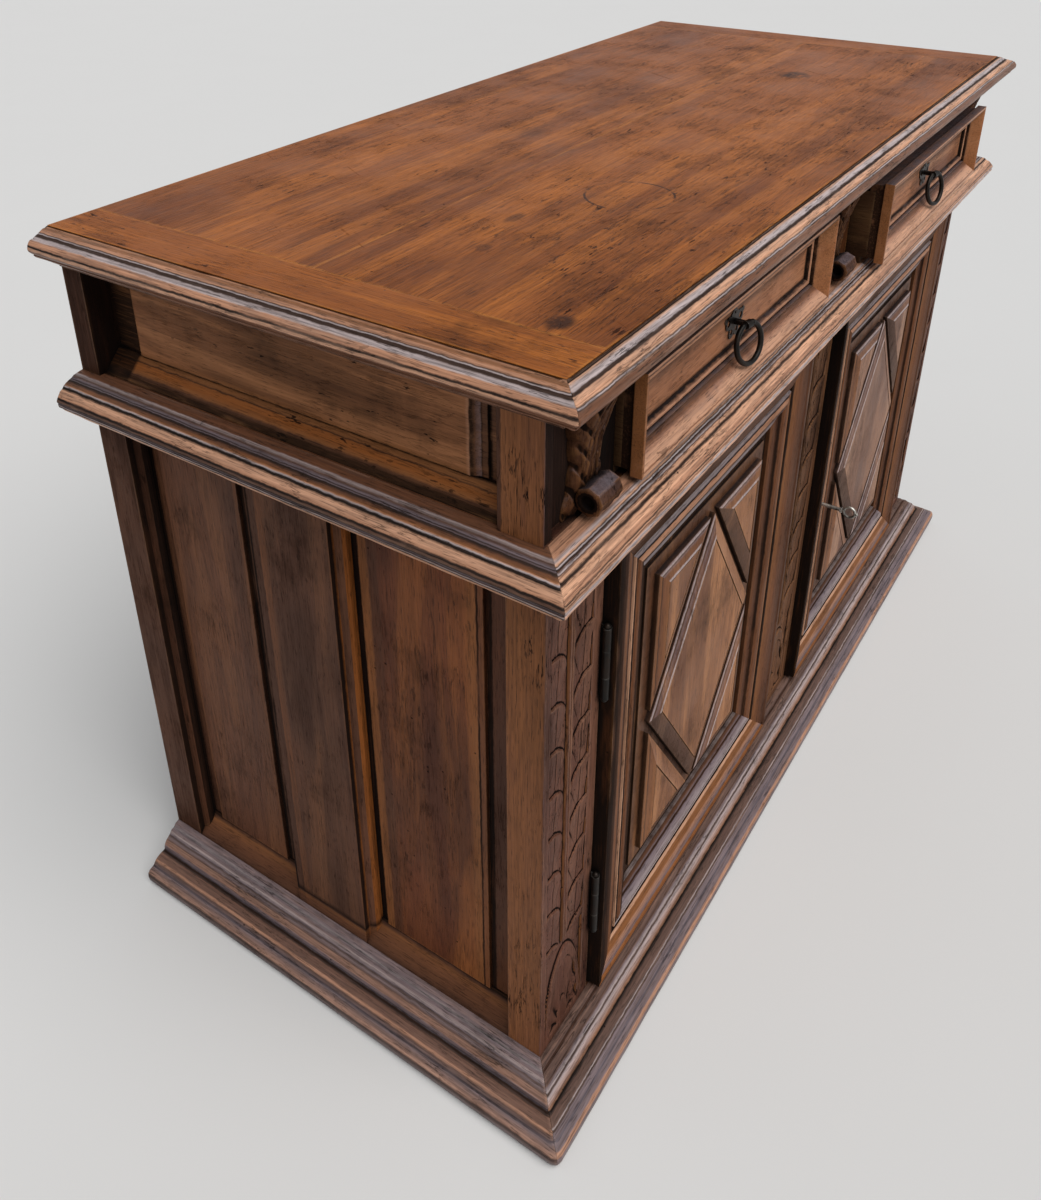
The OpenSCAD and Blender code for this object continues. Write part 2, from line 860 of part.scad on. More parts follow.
// A door panel: plate in the grooves, a platform, a lozenge and four corners.
module door_panel_body() {
    x0 = -door_far + ornament_edge;
    x1 = -door_near - ornament_edge;
    z0 = door_bottom + ornament_edge;
    z1 = door_top - ornament_edge;
    half_x = (x1 - x0) / 2;
    half_z = (z1 - z0) / 2;
    side = sqrt(half_x * half_x + half_z * half_z);
    altitude = half_x * half_z / side;
    shrink = (altitude - ornament_gap) / altitude;
    leg_x = half_x * shrink;
    leg_z = half_z * shrink;
    inner = (leg_x + leg_z - side * shrink) / 2;
    place() {
        block([-door_far + plate_edge, plate_front, door_bottom + plate_edge],
            [-door_near - plate_edge, plate_rear, door_top - plate_edge]);
        block([-door_far + platform_edge, platform_front, door_bottom + platform_edge],
            [-door_near - platform_edge, plate_front + 1, door_top - platform_edge]);
        raised([[-half_x, 0], [0, -half_z], [half_x, 0], [0, half_z]],
            [(x0 + x1) / 2, (z0 + z1) / 2], altitude);
        for (sx = [-1, 1])
            for (sz = [-1, 1])
                raised([[sx * inner, sz * inner], [sx * (inner - leg_x), sz * inner],
                    [sx * inner, sz * (inner - leg_z)]],
                    [sx > 0 ? x1 - inner : x0 + inner, sz > 0 ? z1 - inner : z0 + inner], inner);
    }
}

module left_door_frame() {
    color("#6b4530") door_frame_body();
}

module left_door_panel() {
    color("#75503a") door_panel_body();
}

// The right door frame is bored for the key.
module right_door_frame() {
    color("#6b4530") difference() {
        flip() door_frame_body();
        place() bar_y(key_x, key_z, -50, 50, key_radius + pin_clearance);
    }
}

module right_door_panel() {
    color("#75503a") flip() door_panel_body();
}

// The two outer knuckles of a hinge, their leaf and the fixed pin.
module post_hinge(z) {
    mid = mid_knuckle / 2;
    translate([-hinge_x, hinge_y, z]) {
        cylinder(h = 2 * knuckle_reach, r = hinge_pin, center = true);
        for (side = [-1, 1]) {
            translate([0, 0, side * (mid + knuckle_space + knuckle_reach) / 2])
                cylinder(h = knuckle_reach - mid - knuckle_space, r = hinge_radius, center = true);
            translate([0, 0, side * (knuckle_reach + 1)]) sphere(3.8);
        }
    }
    for (side = [-1, 1])
        block([-post_inside, hinge_y, z + min(side * knuckle_reach, side * (mid + knuckle_space))],
            [-post_inside + 1.4, 14, z + max(side * knuckle_reach, side * (mid + knuckle_space))]);
}

// The middle knuckle of a hinge and its leaf on the door edge.
module door_hinge(z) {
    mid = mid_knuckle / 2;
    difference() {
        union() {
            translate([-hinge_x, hinge_y, z]) cylinder(h = mid_knuckle, r = hinge_radius, center = true);
            block([-door_far - 1.8, hinge_y, z - mid], [-door_far, 14, z + mid]);
        }
        translate([-hinge_x, hinge_y, z])
            cylinder(h = mid_knuckle + 2, r = hinge_pin + pin_clearance, center = true);
    }
}

module post_hinges() {
    color("#2c2825") place() {
        post_hinge(upper_hinge);
        post_hinge(lower_hinge);
    }
}

module door_hinges() {
    color("#2c2825") place() {
        door_hinge(upper_hinge);
        door_hinge(lower_hinge);
    }
}

module left_post_hinges() {
    post_hinges();
}

module right_post_hinges() {
    flip() post_hinges();
}

module left_door_hinges() {
    door_hinges();
}

module right_door_hinges() {
    flip() door_hinges();
}

case_start = door_near + 8;
case_end = case_start + 84;

// The hollow lock case behind the right door, slotted for its bolt.
module lock_case() {
    color("#4a4642") place() difference() {
        union() {
            difference() {
                block([case_start, door_back, key_z - case_half],
                    [case_end, case_back, key_z + case_half]);
                block([case_start + case_wall, door_back + case_wall, key_z - case_half + case_wall],
                    [case_end - case_wall, case_back - case_wall, key_z + case_half - case_wall]);
            }
            block([key_x + 18, door_back, bolt_low - 5], [key_x + 24, case_back, bolt_high + 5]);
        }
        block([case_start - 1, bolt_front - bolt_play, bolt_low - bolt_play],
            [key_x + 25, bolt_rear + bolt_play, bolt_high + bolt_play]);
        bar_y(key_x, key_z, door_back - 1, door_back + case_wall + 1, key_radius + pin_clearance);
    }
}

module lock_bolt() {
    color("#8a8680") place()
        block([case_start - 6, bolt_front, bolt_low], [key_x + 32, bolt_rear, bolt_high]);
}

bow_y = -52;

// The key: shank, bit, collar, ring bow and end knob.
module key() {
    color("#b9b6ae") place() {
        bar_y(key_x, key_z, -44, 34, key_radius);
        bar_y(key_x, key_z, -40, -37, 4.6);
        block([key_x - 1.2, 23, key_z - 12], [key_x + 1.2, 31, key_z]);
        translate([key_x, bow_y, key_z]) rotate([0, 90, 0])
            rotate_extrude($fn = 40) translate([9, 0]) circle(2.2, $fn = 16);
        translate([key_x, bow_y - 11.4, key_z]) sphere(2.6);
    }
}

base_front();
base_left();
base_right();
front_left_post();
front_right_post();
back_left_post();
back_right_post();
centre_stile();
front_bottom_rail();
front_top_rail();
left_side_frame();
right_side_frame();
left_front_panel();
left_rear_panel();
right_front_panel();
right_rear_panel();
waist_front();
waist_left();
waist_right();
left_frieze_board();
right_frieze_board();
left_corbel();
centre_corbel();
right_corbel();
frieze_divider();
dust_board();
left_guide();
centre_guide();
right_guide();
bottom_board();
lower_back_board();
upper_back_board();
top_front_board();
top_rear_board();
left_cleat();
right_cleat();
cornice_front();
cornice_left();
cornice_right();
left_post_hinges();
right_post_hinges();
left_drawer_front();
left_drawer_box();
left_drawer_bottom();
left_pull_plate();
left_ring();
right_drawer_front();
right_drawer_box();
right_drawer_bottom();
right_pull_plate();
right_ring();
left_door_frame();
left_door_panel();
left_door_hinges();
right_door_frame();
right_door_panel();
right_door_hinges();
lock_case();
lock_bolt();
key();
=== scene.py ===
"""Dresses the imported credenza: worn walnut, carved posts and brackets, iron, floor, light and camera."""

import functools
import math

import bmesh
import bpy
import numpy as np
from mathutils import Matrix, Vector


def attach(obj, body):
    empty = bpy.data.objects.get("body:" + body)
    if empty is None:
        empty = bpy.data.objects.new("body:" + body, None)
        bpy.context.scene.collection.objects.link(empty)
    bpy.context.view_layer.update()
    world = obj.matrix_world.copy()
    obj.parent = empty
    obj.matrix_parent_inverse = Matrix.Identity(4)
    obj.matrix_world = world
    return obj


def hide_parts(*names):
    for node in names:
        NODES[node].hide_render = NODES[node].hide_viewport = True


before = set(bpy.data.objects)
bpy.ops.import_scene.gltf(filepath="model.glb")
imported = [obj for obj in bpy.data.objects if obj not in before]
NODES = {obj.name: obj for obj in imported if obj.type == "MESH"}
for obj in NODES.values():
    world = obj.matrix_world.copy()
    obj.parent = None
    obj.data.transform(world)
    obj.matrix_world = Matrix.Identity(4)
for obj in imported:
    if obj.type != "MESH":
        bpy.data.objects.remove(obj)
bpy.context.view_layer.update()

# The part's own values, in millimetres, with y = 0 at the front of the posts.
HALF = 718.0  # half the width over the posts
DEPTH = 633.0  # from the front of the posts to the back
MIDDLE = 282.7  # where the frame's y is 0
WAIST = 822.0  # top of the waist moulding
HEIGHT = 1000.0
FORWARD = 10.0  # how far the cornice stands forward of the posts
FRIEZE_FOOT = 824.0  # the posts are painted black above this, as shade in the niches where the brackets stand
RECESS_HALF = 662.0  # how far from the middle the recess for a corner bracket goes
SILL_TOP = 846.5  # where the sloped sill of a frieze board meets its field
MUNTIN_BACK = 300.0  # the front edge of a side frame's muntin lies before this
DOOR_X, DOOR_Z, DOOR_HALF_X, DOOR_HALF_Z = 335.0, 417.0, 269.0, 343.0
DRAWER_Z, DRAWER_HALF_Z = 885.0, 57.0
OPEN = 22  # how far the right drawer stands open
POST_WIDTH, STILE_HALF = 109.0, 61.0
CARVED_FOOT, POST_TOP, STILE_TOP = 72.0, 779.0, 761.0
TOUCH = 1e-5  # points nearer than this are one, in metres


def metres(points):
    """Points in millimetres in the part's own frame, as metres in the row frame."""
    return (np.asarray(points, float) - (0.0, MIDDLE, 0.0)) / 1000.0


def ease(low, high, value):
    """0 below low, 1 above high, smooth between."""
    t = np.clip((value - low) / (high - low), 0.0, 1.0)
    return t * t * (3 - 2 * t)


def field(rows, columns, row_cells, column_cells, seed):
    """Smooth random values from 0 to 1 on a grid."""
    lattice = np.random.default_rng(seed).random((row_cells + 2, column_cells + 2))

    def weights(count, cells):
        t = np.linspace(0, cells, count)
        low = np.minimum(t.astype(int), cells)
        part = t - low
        return low, part * part * (3 - 2 * part)

    r, fr = weights(rows, row_cells)
    c, fc = weights(columns, column_cells)
    above = lattice[r][:, c] * (1 - fc) + lattice[r][:, c + 1] * fc
    below = lattice[r + 1][:, c] * (1 - fc) + lattice[r + 1][:, c + 1] * fc
    return above * (1 - fr[:, None]) + below * fr[:, None]


# Materials


def linear(text):
    """An sRGB colour such as 7a4b2c as linear RGBA."""
    values = [int(text[i:i + 2], 16) / 255 for i in (0, 2, 4)]
    return tuple(v / 12.92 if v <= 0.04045 else ((v + 0.055) / 1.055) ** 2.4 for v in values) + (1.0,)


# Black, dark, umber, brown, amber, orange, grey, light grey, pinkish tan and cream.
# Laid along the profiles, black and dark serve as painted shade in grooves and gaps, the greys as painted
# sheen, and amber, pinkish tan and cream partly as painted highlights on lit arrises and partly as wear.
TONES = {"k": "100b09", "d": "2a1b14", "u": "4a3024", "b": "6e452d", "a": "8a5833", "o": "98592a",
    "g": "746970", "l": "b8aaaa", "p": "b88669", "c": "cf9e80"}
# The painted shade that fills deep recesses, niches and gaps between parts.
DEEP_SHADE = "0a0605"


class Tree:
    """The nodes of a material or the world, with short calls for the kinds used here."""

    def __init__(self, owner):
        owner.use_nodes = True
        self.owner = owner
        self.nodes = owner.node_tree.nodes
        self.links = owner.node_tree.links
        self.nodes.clear()

    def put(self, socket, value):
        """Links a socket to the input, or sets its value."""
        if isinstance(value, bpy.types.NodeSocket):
            self.links.new(value, socket)
        else:
            socket.default_value = value

    def add(self, kind, inputs=(), **settings):
        """A new shader node, with its settings set and its inputs put."""
        node = self.nodes.new("ShaderNode" + kind)
        for key, value in settings.items():
            setattr(node, key, value)
        for key, value in dict(inputs).items():
            self.put(node.inputs[key], value)
        return node

    def math(self, operation, a, b=0.0, clamp=False):
        return self.add("Math", {0: a, 1: b}, operation=operation, use_clamp=clamp).outputs[0]

    def times(self, a, b, clamp=False):
        return self.math("MULTIPLY", a, b, clamp)

    def plus(self, a, b, clamp=False):
        return self.math("ADD", a, b, clamp)

    def minus(self, a, b):
        return self.math("SUBTRACT", a, b)

    def abs(self, a):
        return self.math("ABSOLUTE", a)

    def more(self, a, b):
        return self.math("GREATER_THAN", a, b)

    def less(self, a, b):
        return self.math("LESS_THAN", a, b)

    def vector(self, operation, a, b):
        return self.add("VectorMath", {0: a, 1: b}, operation=operation).outputs[0]

    def noise(self, vector, scale, detail=3.0, roughness=0.5, distortion=0.0):
        return self.add("TexNoise", {"Vector": vector, "Scale": scale, "Detail": detail,
            "Roughness": roughness, "Distortion": distortion}).outputs[0]

    def span(self, value, a, b, c=0.0, d=1.0, smooth=True):
        """The value moved from the range a to b into the range c to d, and held there."""
        return self.add("MapRange", {"Value": value, "From Min": a, "From Max": b,
            "To Min": c, "To Max": d}, interpolation_type="SMOOTHSTEP" if smooth else "LINEAR").outputs[0]

    def mix(self, factor, a, b, blend="MIX"):
        return self.add("Mix", {0: factor, 6: a, 7: b}, data_type="RGBA", blend_type=blend).outputs[2]

    def switch(self, factor, a, b):
        """Vector a where factor is 0, b where it is 1."""
        return self.add("Mix", {0: factor, 4: a, 5: b}, data_type="VECTOR").outputs[1]

    @functools.cached_property
    def place(self):
        return self.add("TexCoord").outputs["Object"]

    @functools.cached_property
    def parts(self):
        """The place along x, y and z, in metres."""
        return self.add("SeparateXYZ", {0: self.place}).outputs

    @functools.cached_property
    def normal(self):
        return self.add("SeparateXYZ", {0: self.add("TexCoord").outputs["Normal"]}).outputs

    def mm(self, axis):
        """The place along an axis, in mm."""
        return self.times(self.parts[axis], 1000.0)

    def facing(self, axis, low=0.8):
        """1 on faces square to that axis, and nowhere where low is over 1."""
        return self.more(self.abs(self.normal[axis]), low)

    def openness(self, reach, samples=4, **settings):
        """1 where nothing lies within reach, in metres."""
        return self.add("AmbientOcclusion", {"Distance": reach}, samples=samples, **settings).outputs["AO"]

    def surface(self, inputs):
        """Ends the material with a shader of these inputs."""
        shader = self.add("BsdfPrincipled", inputs)
        self.add("OutputMaterial", {"Surface": shader.outputs[0]})
        return self.owner

    def lay(self, colour, value, stops, factor):
        """Lays tones over the colour. A stop such as 4.5:b:80 is a length in mm, a tone and a percentage."""
        stops = [stop.split(":") for stop in stops.split()]
        low, high = float(stops[0][0]), float(stops[-1][0])
        node = self.add("ValToRGB", {0: self.span(value, low, high, 0.0, 1.0, False)})
        items = node.color_ramp.elements
        for i, (at, shade, strength) in enumerate(stops):
            item = items[i] if i in (0, 1) else items.new(1.0)
            item.position = (float(at) - low) / (high - low)
            item.color = linear(TONES[shade])[:3] + (float(strength) / 100,)
        return self.mix(self.times(node.outputs["Alpha"], factor), colour, node.outputs["Color"])


GRAIN_ORDER = {"X": (0, 1, 2), "Y": (1, 0, 2), "Z": (2, 0, 1)}
# How far the shading looks for an edge, a hollow and a deep recess, in metres.
EDGE_REACH, HOLLOW_REACH, DEEP_REACH = 0.0035, 0.014, 0.07


def wood(name, tones, grain, seed, across=None, mask=None, wear=0.8, grime_and_shade=0.8, gloss=0.46, figure=0.5,
         shine=0.07, dust_and_sheen=None, marks=None, lips=1.0, cracks=0.35, flecks=0.5, streak=(0.8, 1.16), over=()):
    """Worn walnut. tones are dark, middle, light, worn, and grime that also serves as painted shade in the
    hollows. Where mask is 1 the grain runs along across. over holds pairs of a rule, which gives a length in
    mm and a factor, and the tones along it."""
    t = Tree(bpy.data.materials.new(name))
    shift = (seed * 0.731 % 3.1, seed * 1.317 % 2.7, seed * 0.477 % 3.7)

    def along(axis):
        order = GRAIN_ORDER[axis]
        joined = t.add("CombineXYZ", {i: t.parts[order[i]] for i in range(3)}).outputs[0]
        return t.vector("ADD", joined, shift)

    grained = along(grain)
    if mask is not None:
        grained = t.switch(mask(t), grained, along(across))
    dark, middle, light, worn, grime_and_shade_tone = (linear(c) for c in tones)

    def drawn(length, breadth, *settings):
        return t.noise(t.vector("MULTIPLY", grained, (length, breadth, breadth)), *settings)

    # Growth rings, fibre and pores.
    broad = drawn(1.0, 2.6, 2.4, 3.0, 0.55)
    bands = drawn(1.0, 11.0, 1.5, 4.0, 0.55, 0.7)
    lines = t.math("PINGPONG", t.times(bands, 17.0), 1.0)
    fibre = drawn(14.0, 420.0, 1.0, 3.0, 0.65)
    pores = drawn(55.0, 900.0, 1.0, 1.0, 0.5)
    moved = t.vector("ADD", t.place, shift)
    cloud = t.noise(moved, 9.0, 5.0, 0.62)
    speck = t.noise(moved, 70.0, 4.0, 0.6)

    colour = t.mix(t.span(broad, 0.36, 0.64), dark, middle)
    colour = t.mix(t.times(t.span(bands, 0.42, 0.68), figure), colour, light)
    colour = t.mix(t.times(t.span(lines, 0.55, 1.0), 0.16 + 0.25 * figure), colour, dark)
    colour = t.mix(t.times(t.span(cloud, 0.54, 0.72), 0.45), colour, grime_and_shade_tone)

    # Cracks along the grain.
    split = drawn(9.0, 120.0, 1.0, 4.0, 0.6, 0.3)
    crack = t.times(t.span(t.abs(t.minus(split, 0.5)), 0.004, 0.016, 1.0, 0.0),
        t.times(t.span(cloud, 0.46, 0.58), cracks))

    # Edges rubbed pale, and the hollows darkened with grime and painted shade.
    edge = t.add("Attribute", attribute_name="edge").outputs["Fac"]
    near_edge = t.times(t.minus(1.0, t.openness(EDGE_REACH, 3, inside=True, only_local=True)), 1.7, True)
    convex = t.math("MAXIMUM", near_edge, t.times(t.math("MAXIMUM", edge, 0.0), lips))
    sheltered = t.times(t.minus(1.0, t.openness(HOLLOW_REACH)), 1.25, True)
    hollow = t.math("MAXIMUM", sheltered, t.times(edge, -1.5))
    patch = drawn(7.0, 40.0, 1.0, 3.0, 0.6)
    broken = t.span(t.plus(t.times(patch, 0.6), t.times(speck, 0.4)), 0.36, 0.60)
    rubbed = t.times(t.times(t.span(convex, 0.15, 0.75), broken), wear, True)
    hollow_grime_and_shade = t.times(t.span(hollow, 0.18, 0.85), grime_and_shade, True)
    # Faces that look up take a pale grey veil: dust, with painted sheen of the sky over it.
    if dust_and_sheen is not None:
        veil = t.times(t.span(t.normal[2], 0.25, 0.85), t.span(speck, 0.25, 0.65, 0.45, 0.85))
        colour = t.mix(veil, colour, linear(dust_and_sheen))
    colour = t.mix(rubbed, colour, worn)
    colour = t.mix(hollow_grime_and_shade, colour, grime_and_shade_tone)
    # Painted shade: deep recesses, niches and gaps between parts go near black.
    colour = t.mix(t.times(t.span(t.openness(DEEP_REACH), 0.10, 0.50, 1.0, 0.0), 0.85), colour, linear(DEEP_SHADE))

    # The tones along a profile, painted shade, sheen and highlights among them, with ragged and broken
    # borders.
    ragged = t.times(t.minus(t.plus(speck, t.times(patch, 0.35)), 0.675), 2.8)
    thin = t.times(t.span(fibre, 0.28, 0.50, 0.72, 1.0), t.span(patch, 0.56, 0.72, 1.0, 0.62))
    for rule, stops in over:
        value, factor = rule(t)
        colour = t.lay(colour, t.plus(value, ragged), stops, t.times(factor, thin))
    colour = t.mix(1.0, colour, t.add("CombineColor", {i: t.span(fibre, 0.3, 0.7, *streak, False)
        for i in range(3)}).outputs[0], "MULTIPLY")

    # Flecks, pores and wormholes.
    fleck = t.span(drawn(45.0, 150.0, 1.0, 3.0, 0.55), 0.64, 0.68)
    fleck = t.times(t.times(fleck, t.span(cloud, 0.42, 0.60)), flecks)
    colour = t.mix(t.math("MAXIMUM", crack, fleck), colour, grime_and_shade_tone)
    colour = t.mix(t.times(t.span(pores, 0.60, 0.70), 0.5), colour, grime_and_shade_tone)
    pits = t.add("TexVoronoi", {"Vector": moved, "Scale": 42.0})
    rare = t.span(t.add("SeparateColor", {0: pits.outputs["Color"]}).outputs[0], 0.80, 0.82)
    pit = t.times(t.span(pits.outputs["Distance"], 0.035, 0.075, 1.0, 0.0), rare)
    colour = t.mix(t.times(pit, 0.85), colour, grime_and_shade_tone)

    # Dirt is dull, and so are dark places.
    rough = t.plus(t.span(cloud, 0.3, 0.7, gloss - 0.07, gloss + 0.10, False),
        t.plus(t.times(hollow_grime_and_shade, 0.30), t.times(rubbed, 0.05)), True)
    darkness = t.add("SeparateColor", {0: colour}).outputs[0]
    rough = t.plus(rough, t.span(darkness, 0.01, 0.09, 0.4, 0.0), True)
    if marks is not None:
        colour, rough = marks(t, colour, rough)

    # Relief too fine for the mesh.
    height = t.plus(t.times(fibre, 0.5), t.times(speck, 0.7))
    height = t.minus(height, t.plus(t.times(pores, 0.35), t.plus(t.times(pit, 2.0), t.times(crack, 2.5))))
    rounded = t.add("Bevel", {"Radius": 0.0014}, samples=3).outputs[0]
    bump = t.add("Bump", {"Strength": 0.55, "Distance": 0.0008, "Height": height,
        "Normal": rounded}).outputs[0]
    return t.surface({"Base Color": colour, "Roughness": rough, "Specular IOR Level": shine, "Normal": bump})


def iron(name, base, light, rough, seed):
    """Forged black iron or worn steel, with specks of rust and bright rubbed places."""
    t = Tree(bpy.data.materials.new(name))
    place = t.vector("ADD", t.place, (seed, seed * 0.3, 0.0))
    cloud = t.noise(place, 60.0, 4.0, 0.6)
    grit = t.noise(place, 900.0, 3.0, 0.6)
    convex = t.minus(1.0, t.openness(0.0015, 3, inside=True, only_local=True))
    rubbed = t.times(t.span(convex, 0.2, 0.9), t.span(cloud, 0.4, 0.6), True)
    colour = t.mix(t.span(cloud, 0.35, 0.7), linear(base), linear("2a211b"))
    colour = t.mix(rubbed, colour, linear(light))
    rusty = t.times(t.span(grit, 0.58, 0.7), 0.35)
    colour = t.mix(rusty, colour, linear("4a2c1a"))
    bump = t.add("Bump", {"Strength": 0.5, "Distance": 0.0003, "Height":
        t.plus(grit, t.times(cloud, 2.0))}).outputs[0]
    return t.surface({"Base Color": colour, "Metallic": 0.85, "Normal": bump,
        "Roughness": t.span(cloud, 0.3, 0.7, rough - 0.08, rough + 0.12, False)})


# The woods, each as dark, middle, light, worn, and grime that also serves as painted shade in the hollows.
SIDE = ("48291d", "6f3f29", "945a32", "a4693c", "130a07")
REAR = ("432c22", "654130", "7e5338", "95603a", "120a08")
POST = ("44291f", "6c4436", "88604c", "b08468", "120a08")
FRIEZE = ("5c3a24", "8f5d3e", "b27a52", "b8804c", "150d09")
FRAME = ("402412", "643a20", "844e28", "cc8c50", "130b07")
FIELD = ("6e4630", "9a6846", "b67e54", "c08c62", "1c110b")
MOULD = ("5e4036", "8a6454", "a68270", "e2b89c", "120b08")
BASE_MOULD = ("564240", "7a625c", "927a74", "c49c88", "120b08")
DRAWER = ("764830", "ac7452", "c8906a", "cc9872", "1a0f0a")
# A greyer copy of FIELD for the right door, its grey standing for painted sheen.
RIGHT_FIELD = ("6c4a3a", "9a7058", "b48a70", "c0947a", "1c120d")
TOP = ("743e19", "965524", "b56b2c", "c07b3a", "2c150c")
INNER = ("4c3322", "6c4c34", "84623f", "8c6c4c", "1e140e")
BACK_POST = ("2e1b13", "4a2d1e", "663f2a", "8c6444", "0e0806")
BACK_BOARD = ("3e2a1e", "5a4230", "6e5440", "80654c", "1c130e")
STILE = ("3e271a", "64422d", "855a3c", "b07e58", "120a08")
BRACKET = ("321d14", "52321f", "6c4329", "a87448", "0e0806")

# In metres, the ring on the top and the stains with their reach and strength, then the scratches' stretch.
RING = (-0.301, -0.131, 0.052, 0.0022)
STAINS = ((-0.643, -0.246, 0.021, 0.017, 0.9), (0.399, -0.062, 0.030, 0.030, 0.9),
    (-0.436, -0.062, 0.024, 0.010, 0.6), (-0.53, -0.085, 0.014, 0.010, 0.5), (-0.12, 0.11, 0.05, 0.02, 0.35))
SCRATCHES = (((0.0, 0.0, 0.0), (2.0, 260.0, 1.0)), ((3.1, 1.7, 0.0), (240.0, 3.0, 1.0)))


def ring_mark(t, x, y, radius, width):
    """1 on a circle of that radius about (x, y) on the top."""
    dx = t.minus(t.parts[0], x)
    dy = t.minus(t.parts[1], y)
    away = t.math("SQRT", t.plus(t.times(dx, dx), t.times(dy, dy)))
    return t.span(t.abs(t.minus(away, radius)), 0.3 * width, width, 1.0, 0.0)


def spot(t, x, y, reach_x, reach_y):
    """1 in the middle of a soft oval stain."""
    dx = t.math("DIVIDE", t.minus(t.parts[0], x), reach_x)
    dy = t.math("DIVIDE", t.minus(t.parts[1], y), reach_y)
    return t.span(t.plus(t.times(dx, dx), t.times(dy, dy)), 0.15, 1.0, 1.0, 0.0)


def table_marks(t, colour, rough):
    """The ring, the stains and the fine scratches of a top in long use."""
    plane = t.add("CombineXYZ", {0: t.parts[0], 1: t.parts[1], 2: 0.3}).outputs[0]
    ragged = t.noise(plane, 45.0, 4.0, 0.65)
    worn_ring = t.times(ring_mark(t, *RING), t.span(ragged, 0.40, 0.55))
    colour = t.mix(t.times(worn_ring, 0.9), colour, linear("281206"))
    for x, y, reach_x, reach_y, strength in STAINS:
        mark = t.times(spot(t, x, y, reach_x, reach_y), t.span(ragged, 0.32, 0.55))
        colour = t.mix(t.times(mark, strength), colour, linear("2c1409"))
    turned = t.add("VectorRotate", {"Vector": plane, "Angle": 0.5}).outputs[0]
    for offset, stretch in SCRATCHES:
        streak = t.noise(t.vector("MULTIPLY", t.vector("ADD", turned, offset), stretch), 1.0, 1.0, 0.5)
        fine = t.times(t.span(streak, 0.685, 0.72), t.span(ragged, 0.5, 0.62))
        colour = t.mix(t.times(fine, 0.4), colour, linear("4a2614"))
        rough = t.plus(rough, t.times(fine, 0.15), True)
    return colour, rough


def framed(x, z, half_x, half_z):
    """A mask that is 1 on the level members of a frame about (x, z), and 0 on its uprights, in metres."""
    def mask(t):
        dx = t.minus(half_x, t.abs(t.minus(t.parts[0], x)))
        dz = t.minus(half_z, t.abs(t.minus(t.parts[2], z)))
        return t.more(dx, dz)
    return mask


def rim(side, x, z, half_x, half_z, edges=0.97):
    """The distance from the edge of a rectangle about (x, z), in mm, on one of its four sides."""
    def rule(t):
        from_x, from_z = t.minus(t.mm(0), x), t.minus(t.mm(2), z)
        dx = t.minus(half_x, t.abs(from_x))
        dz = t.minus(half_z, t.abs(from_z))
        level = t.times(t.more(dx, dz), t.minus(1.0, t.facing(2, edges)))
        if side in "bt":
            here = t.math("LESS_THAN" if side == "b" else "GREATER_THAN", from_z, 0.0)
            return dz, t.times(level, here)
        here = t.math("LESS_THAN" if side == "l" else "GREATER_THAN", from_x, 0.0)
        upright = t.times(t.less(dx, dz), t.minus(1.0, t.facing(0, edges)))
        return dx, t.times(upright, here)
    return rule


# Where the sloped rims of the door panels start, how far they rise, and how wide they are.
SLOPE_LOW, SLOPE_RISE, SLOPE_WIDTH = 3.0, 5.0, 20.0


def tilted(x, z):
    """The way up a rim in mm, on the sloped faces that lean to one side: x is -1 for left and 1 for right,
    and z is -1 for down and 1 for up."""
    def rule(t):
        normal = t.normal
        factor = t.times(t.less(normal[1], -0.9), t.more(normal[1], -0.99))
        for sign, axis in ((x, 0), (z, 2)):
            if sign:
                here = t.more(t.times(normal[axis], sign), 0.06)
            else:
                here = t.less(t.abs(normal[axis]), 0.06)
            factor = t.times(factor, here)
        risen = t.plus(t.mm(1), MIDDLE + SLOPE_LOW)
        return t.times(risen, -SLOPE_WIDTH / SLOPE_RISE), factor
    return rule


def run(t):
    """The place along a moulding's profile in mm."""
    return t.add("Attribute", attribute_name="run").outputs["Fac"], 1.0


def depth_y(t):
    """The depth behind the front of the posts in mm, on every face."""
    return t.plus(t.mm(1), MIDDLE), 1.0


def side_y(t):
    """The same depth, on the faces that look sideways."""
    return depth_y(t)[0], t.facing(0)


def height_z(t):
    """The height in mm, on every face."""
    return t.mm(2), 1.0


def above(t, level):
    """1 over that height in mm."""
    return t.more(t.mm(2), level)


def over_sill(t):
    """The depth in mm, on the field of a frieze board."""
    return depth_y(t)[0], above(t, SILL_TOP)


def reveal(t):
    """The distance from the middle in mm, on the front edge of a side frame's muntin."""
    return t.abs(t.mm(0)), t.times(t.facing(1), t.less(depth_y(t)[0], MUNTIN_BACK))


def face_on(t):
    """The faces that look forward or back."""
    return 0.5, t.facing(1)


def bracket_front(t):
    """The front of a post behind its bracket."""
    return 0.5, t.times(t.facing(1), above(t, FRIEZE_FOOT))


def recess(t):
    """The side of a post that looks at its bracket."""
    inner = t.less(t.abs(t.mm(0)), RECESS_HALF)
    return 0.5, t.times(inner, above(t, FRIEZE_FOOT))


def rims(sides, *rectangle):
    """The tones along all four sides of a rectangle."""
    return [(rim(side, *rectangle), stops) for side, stops in sides.items()]


def below(level):
    """A mask that is 1 under that height, in metres."""
    return lambda t: t.less(t.parts[2], level)


def give(names, material):
    """Puts a material on CAD nodes."""
    for name in names.split():
        for piece in NODES[name].material_slots:
            piece.link = "OBJECT"
            piece.material = material
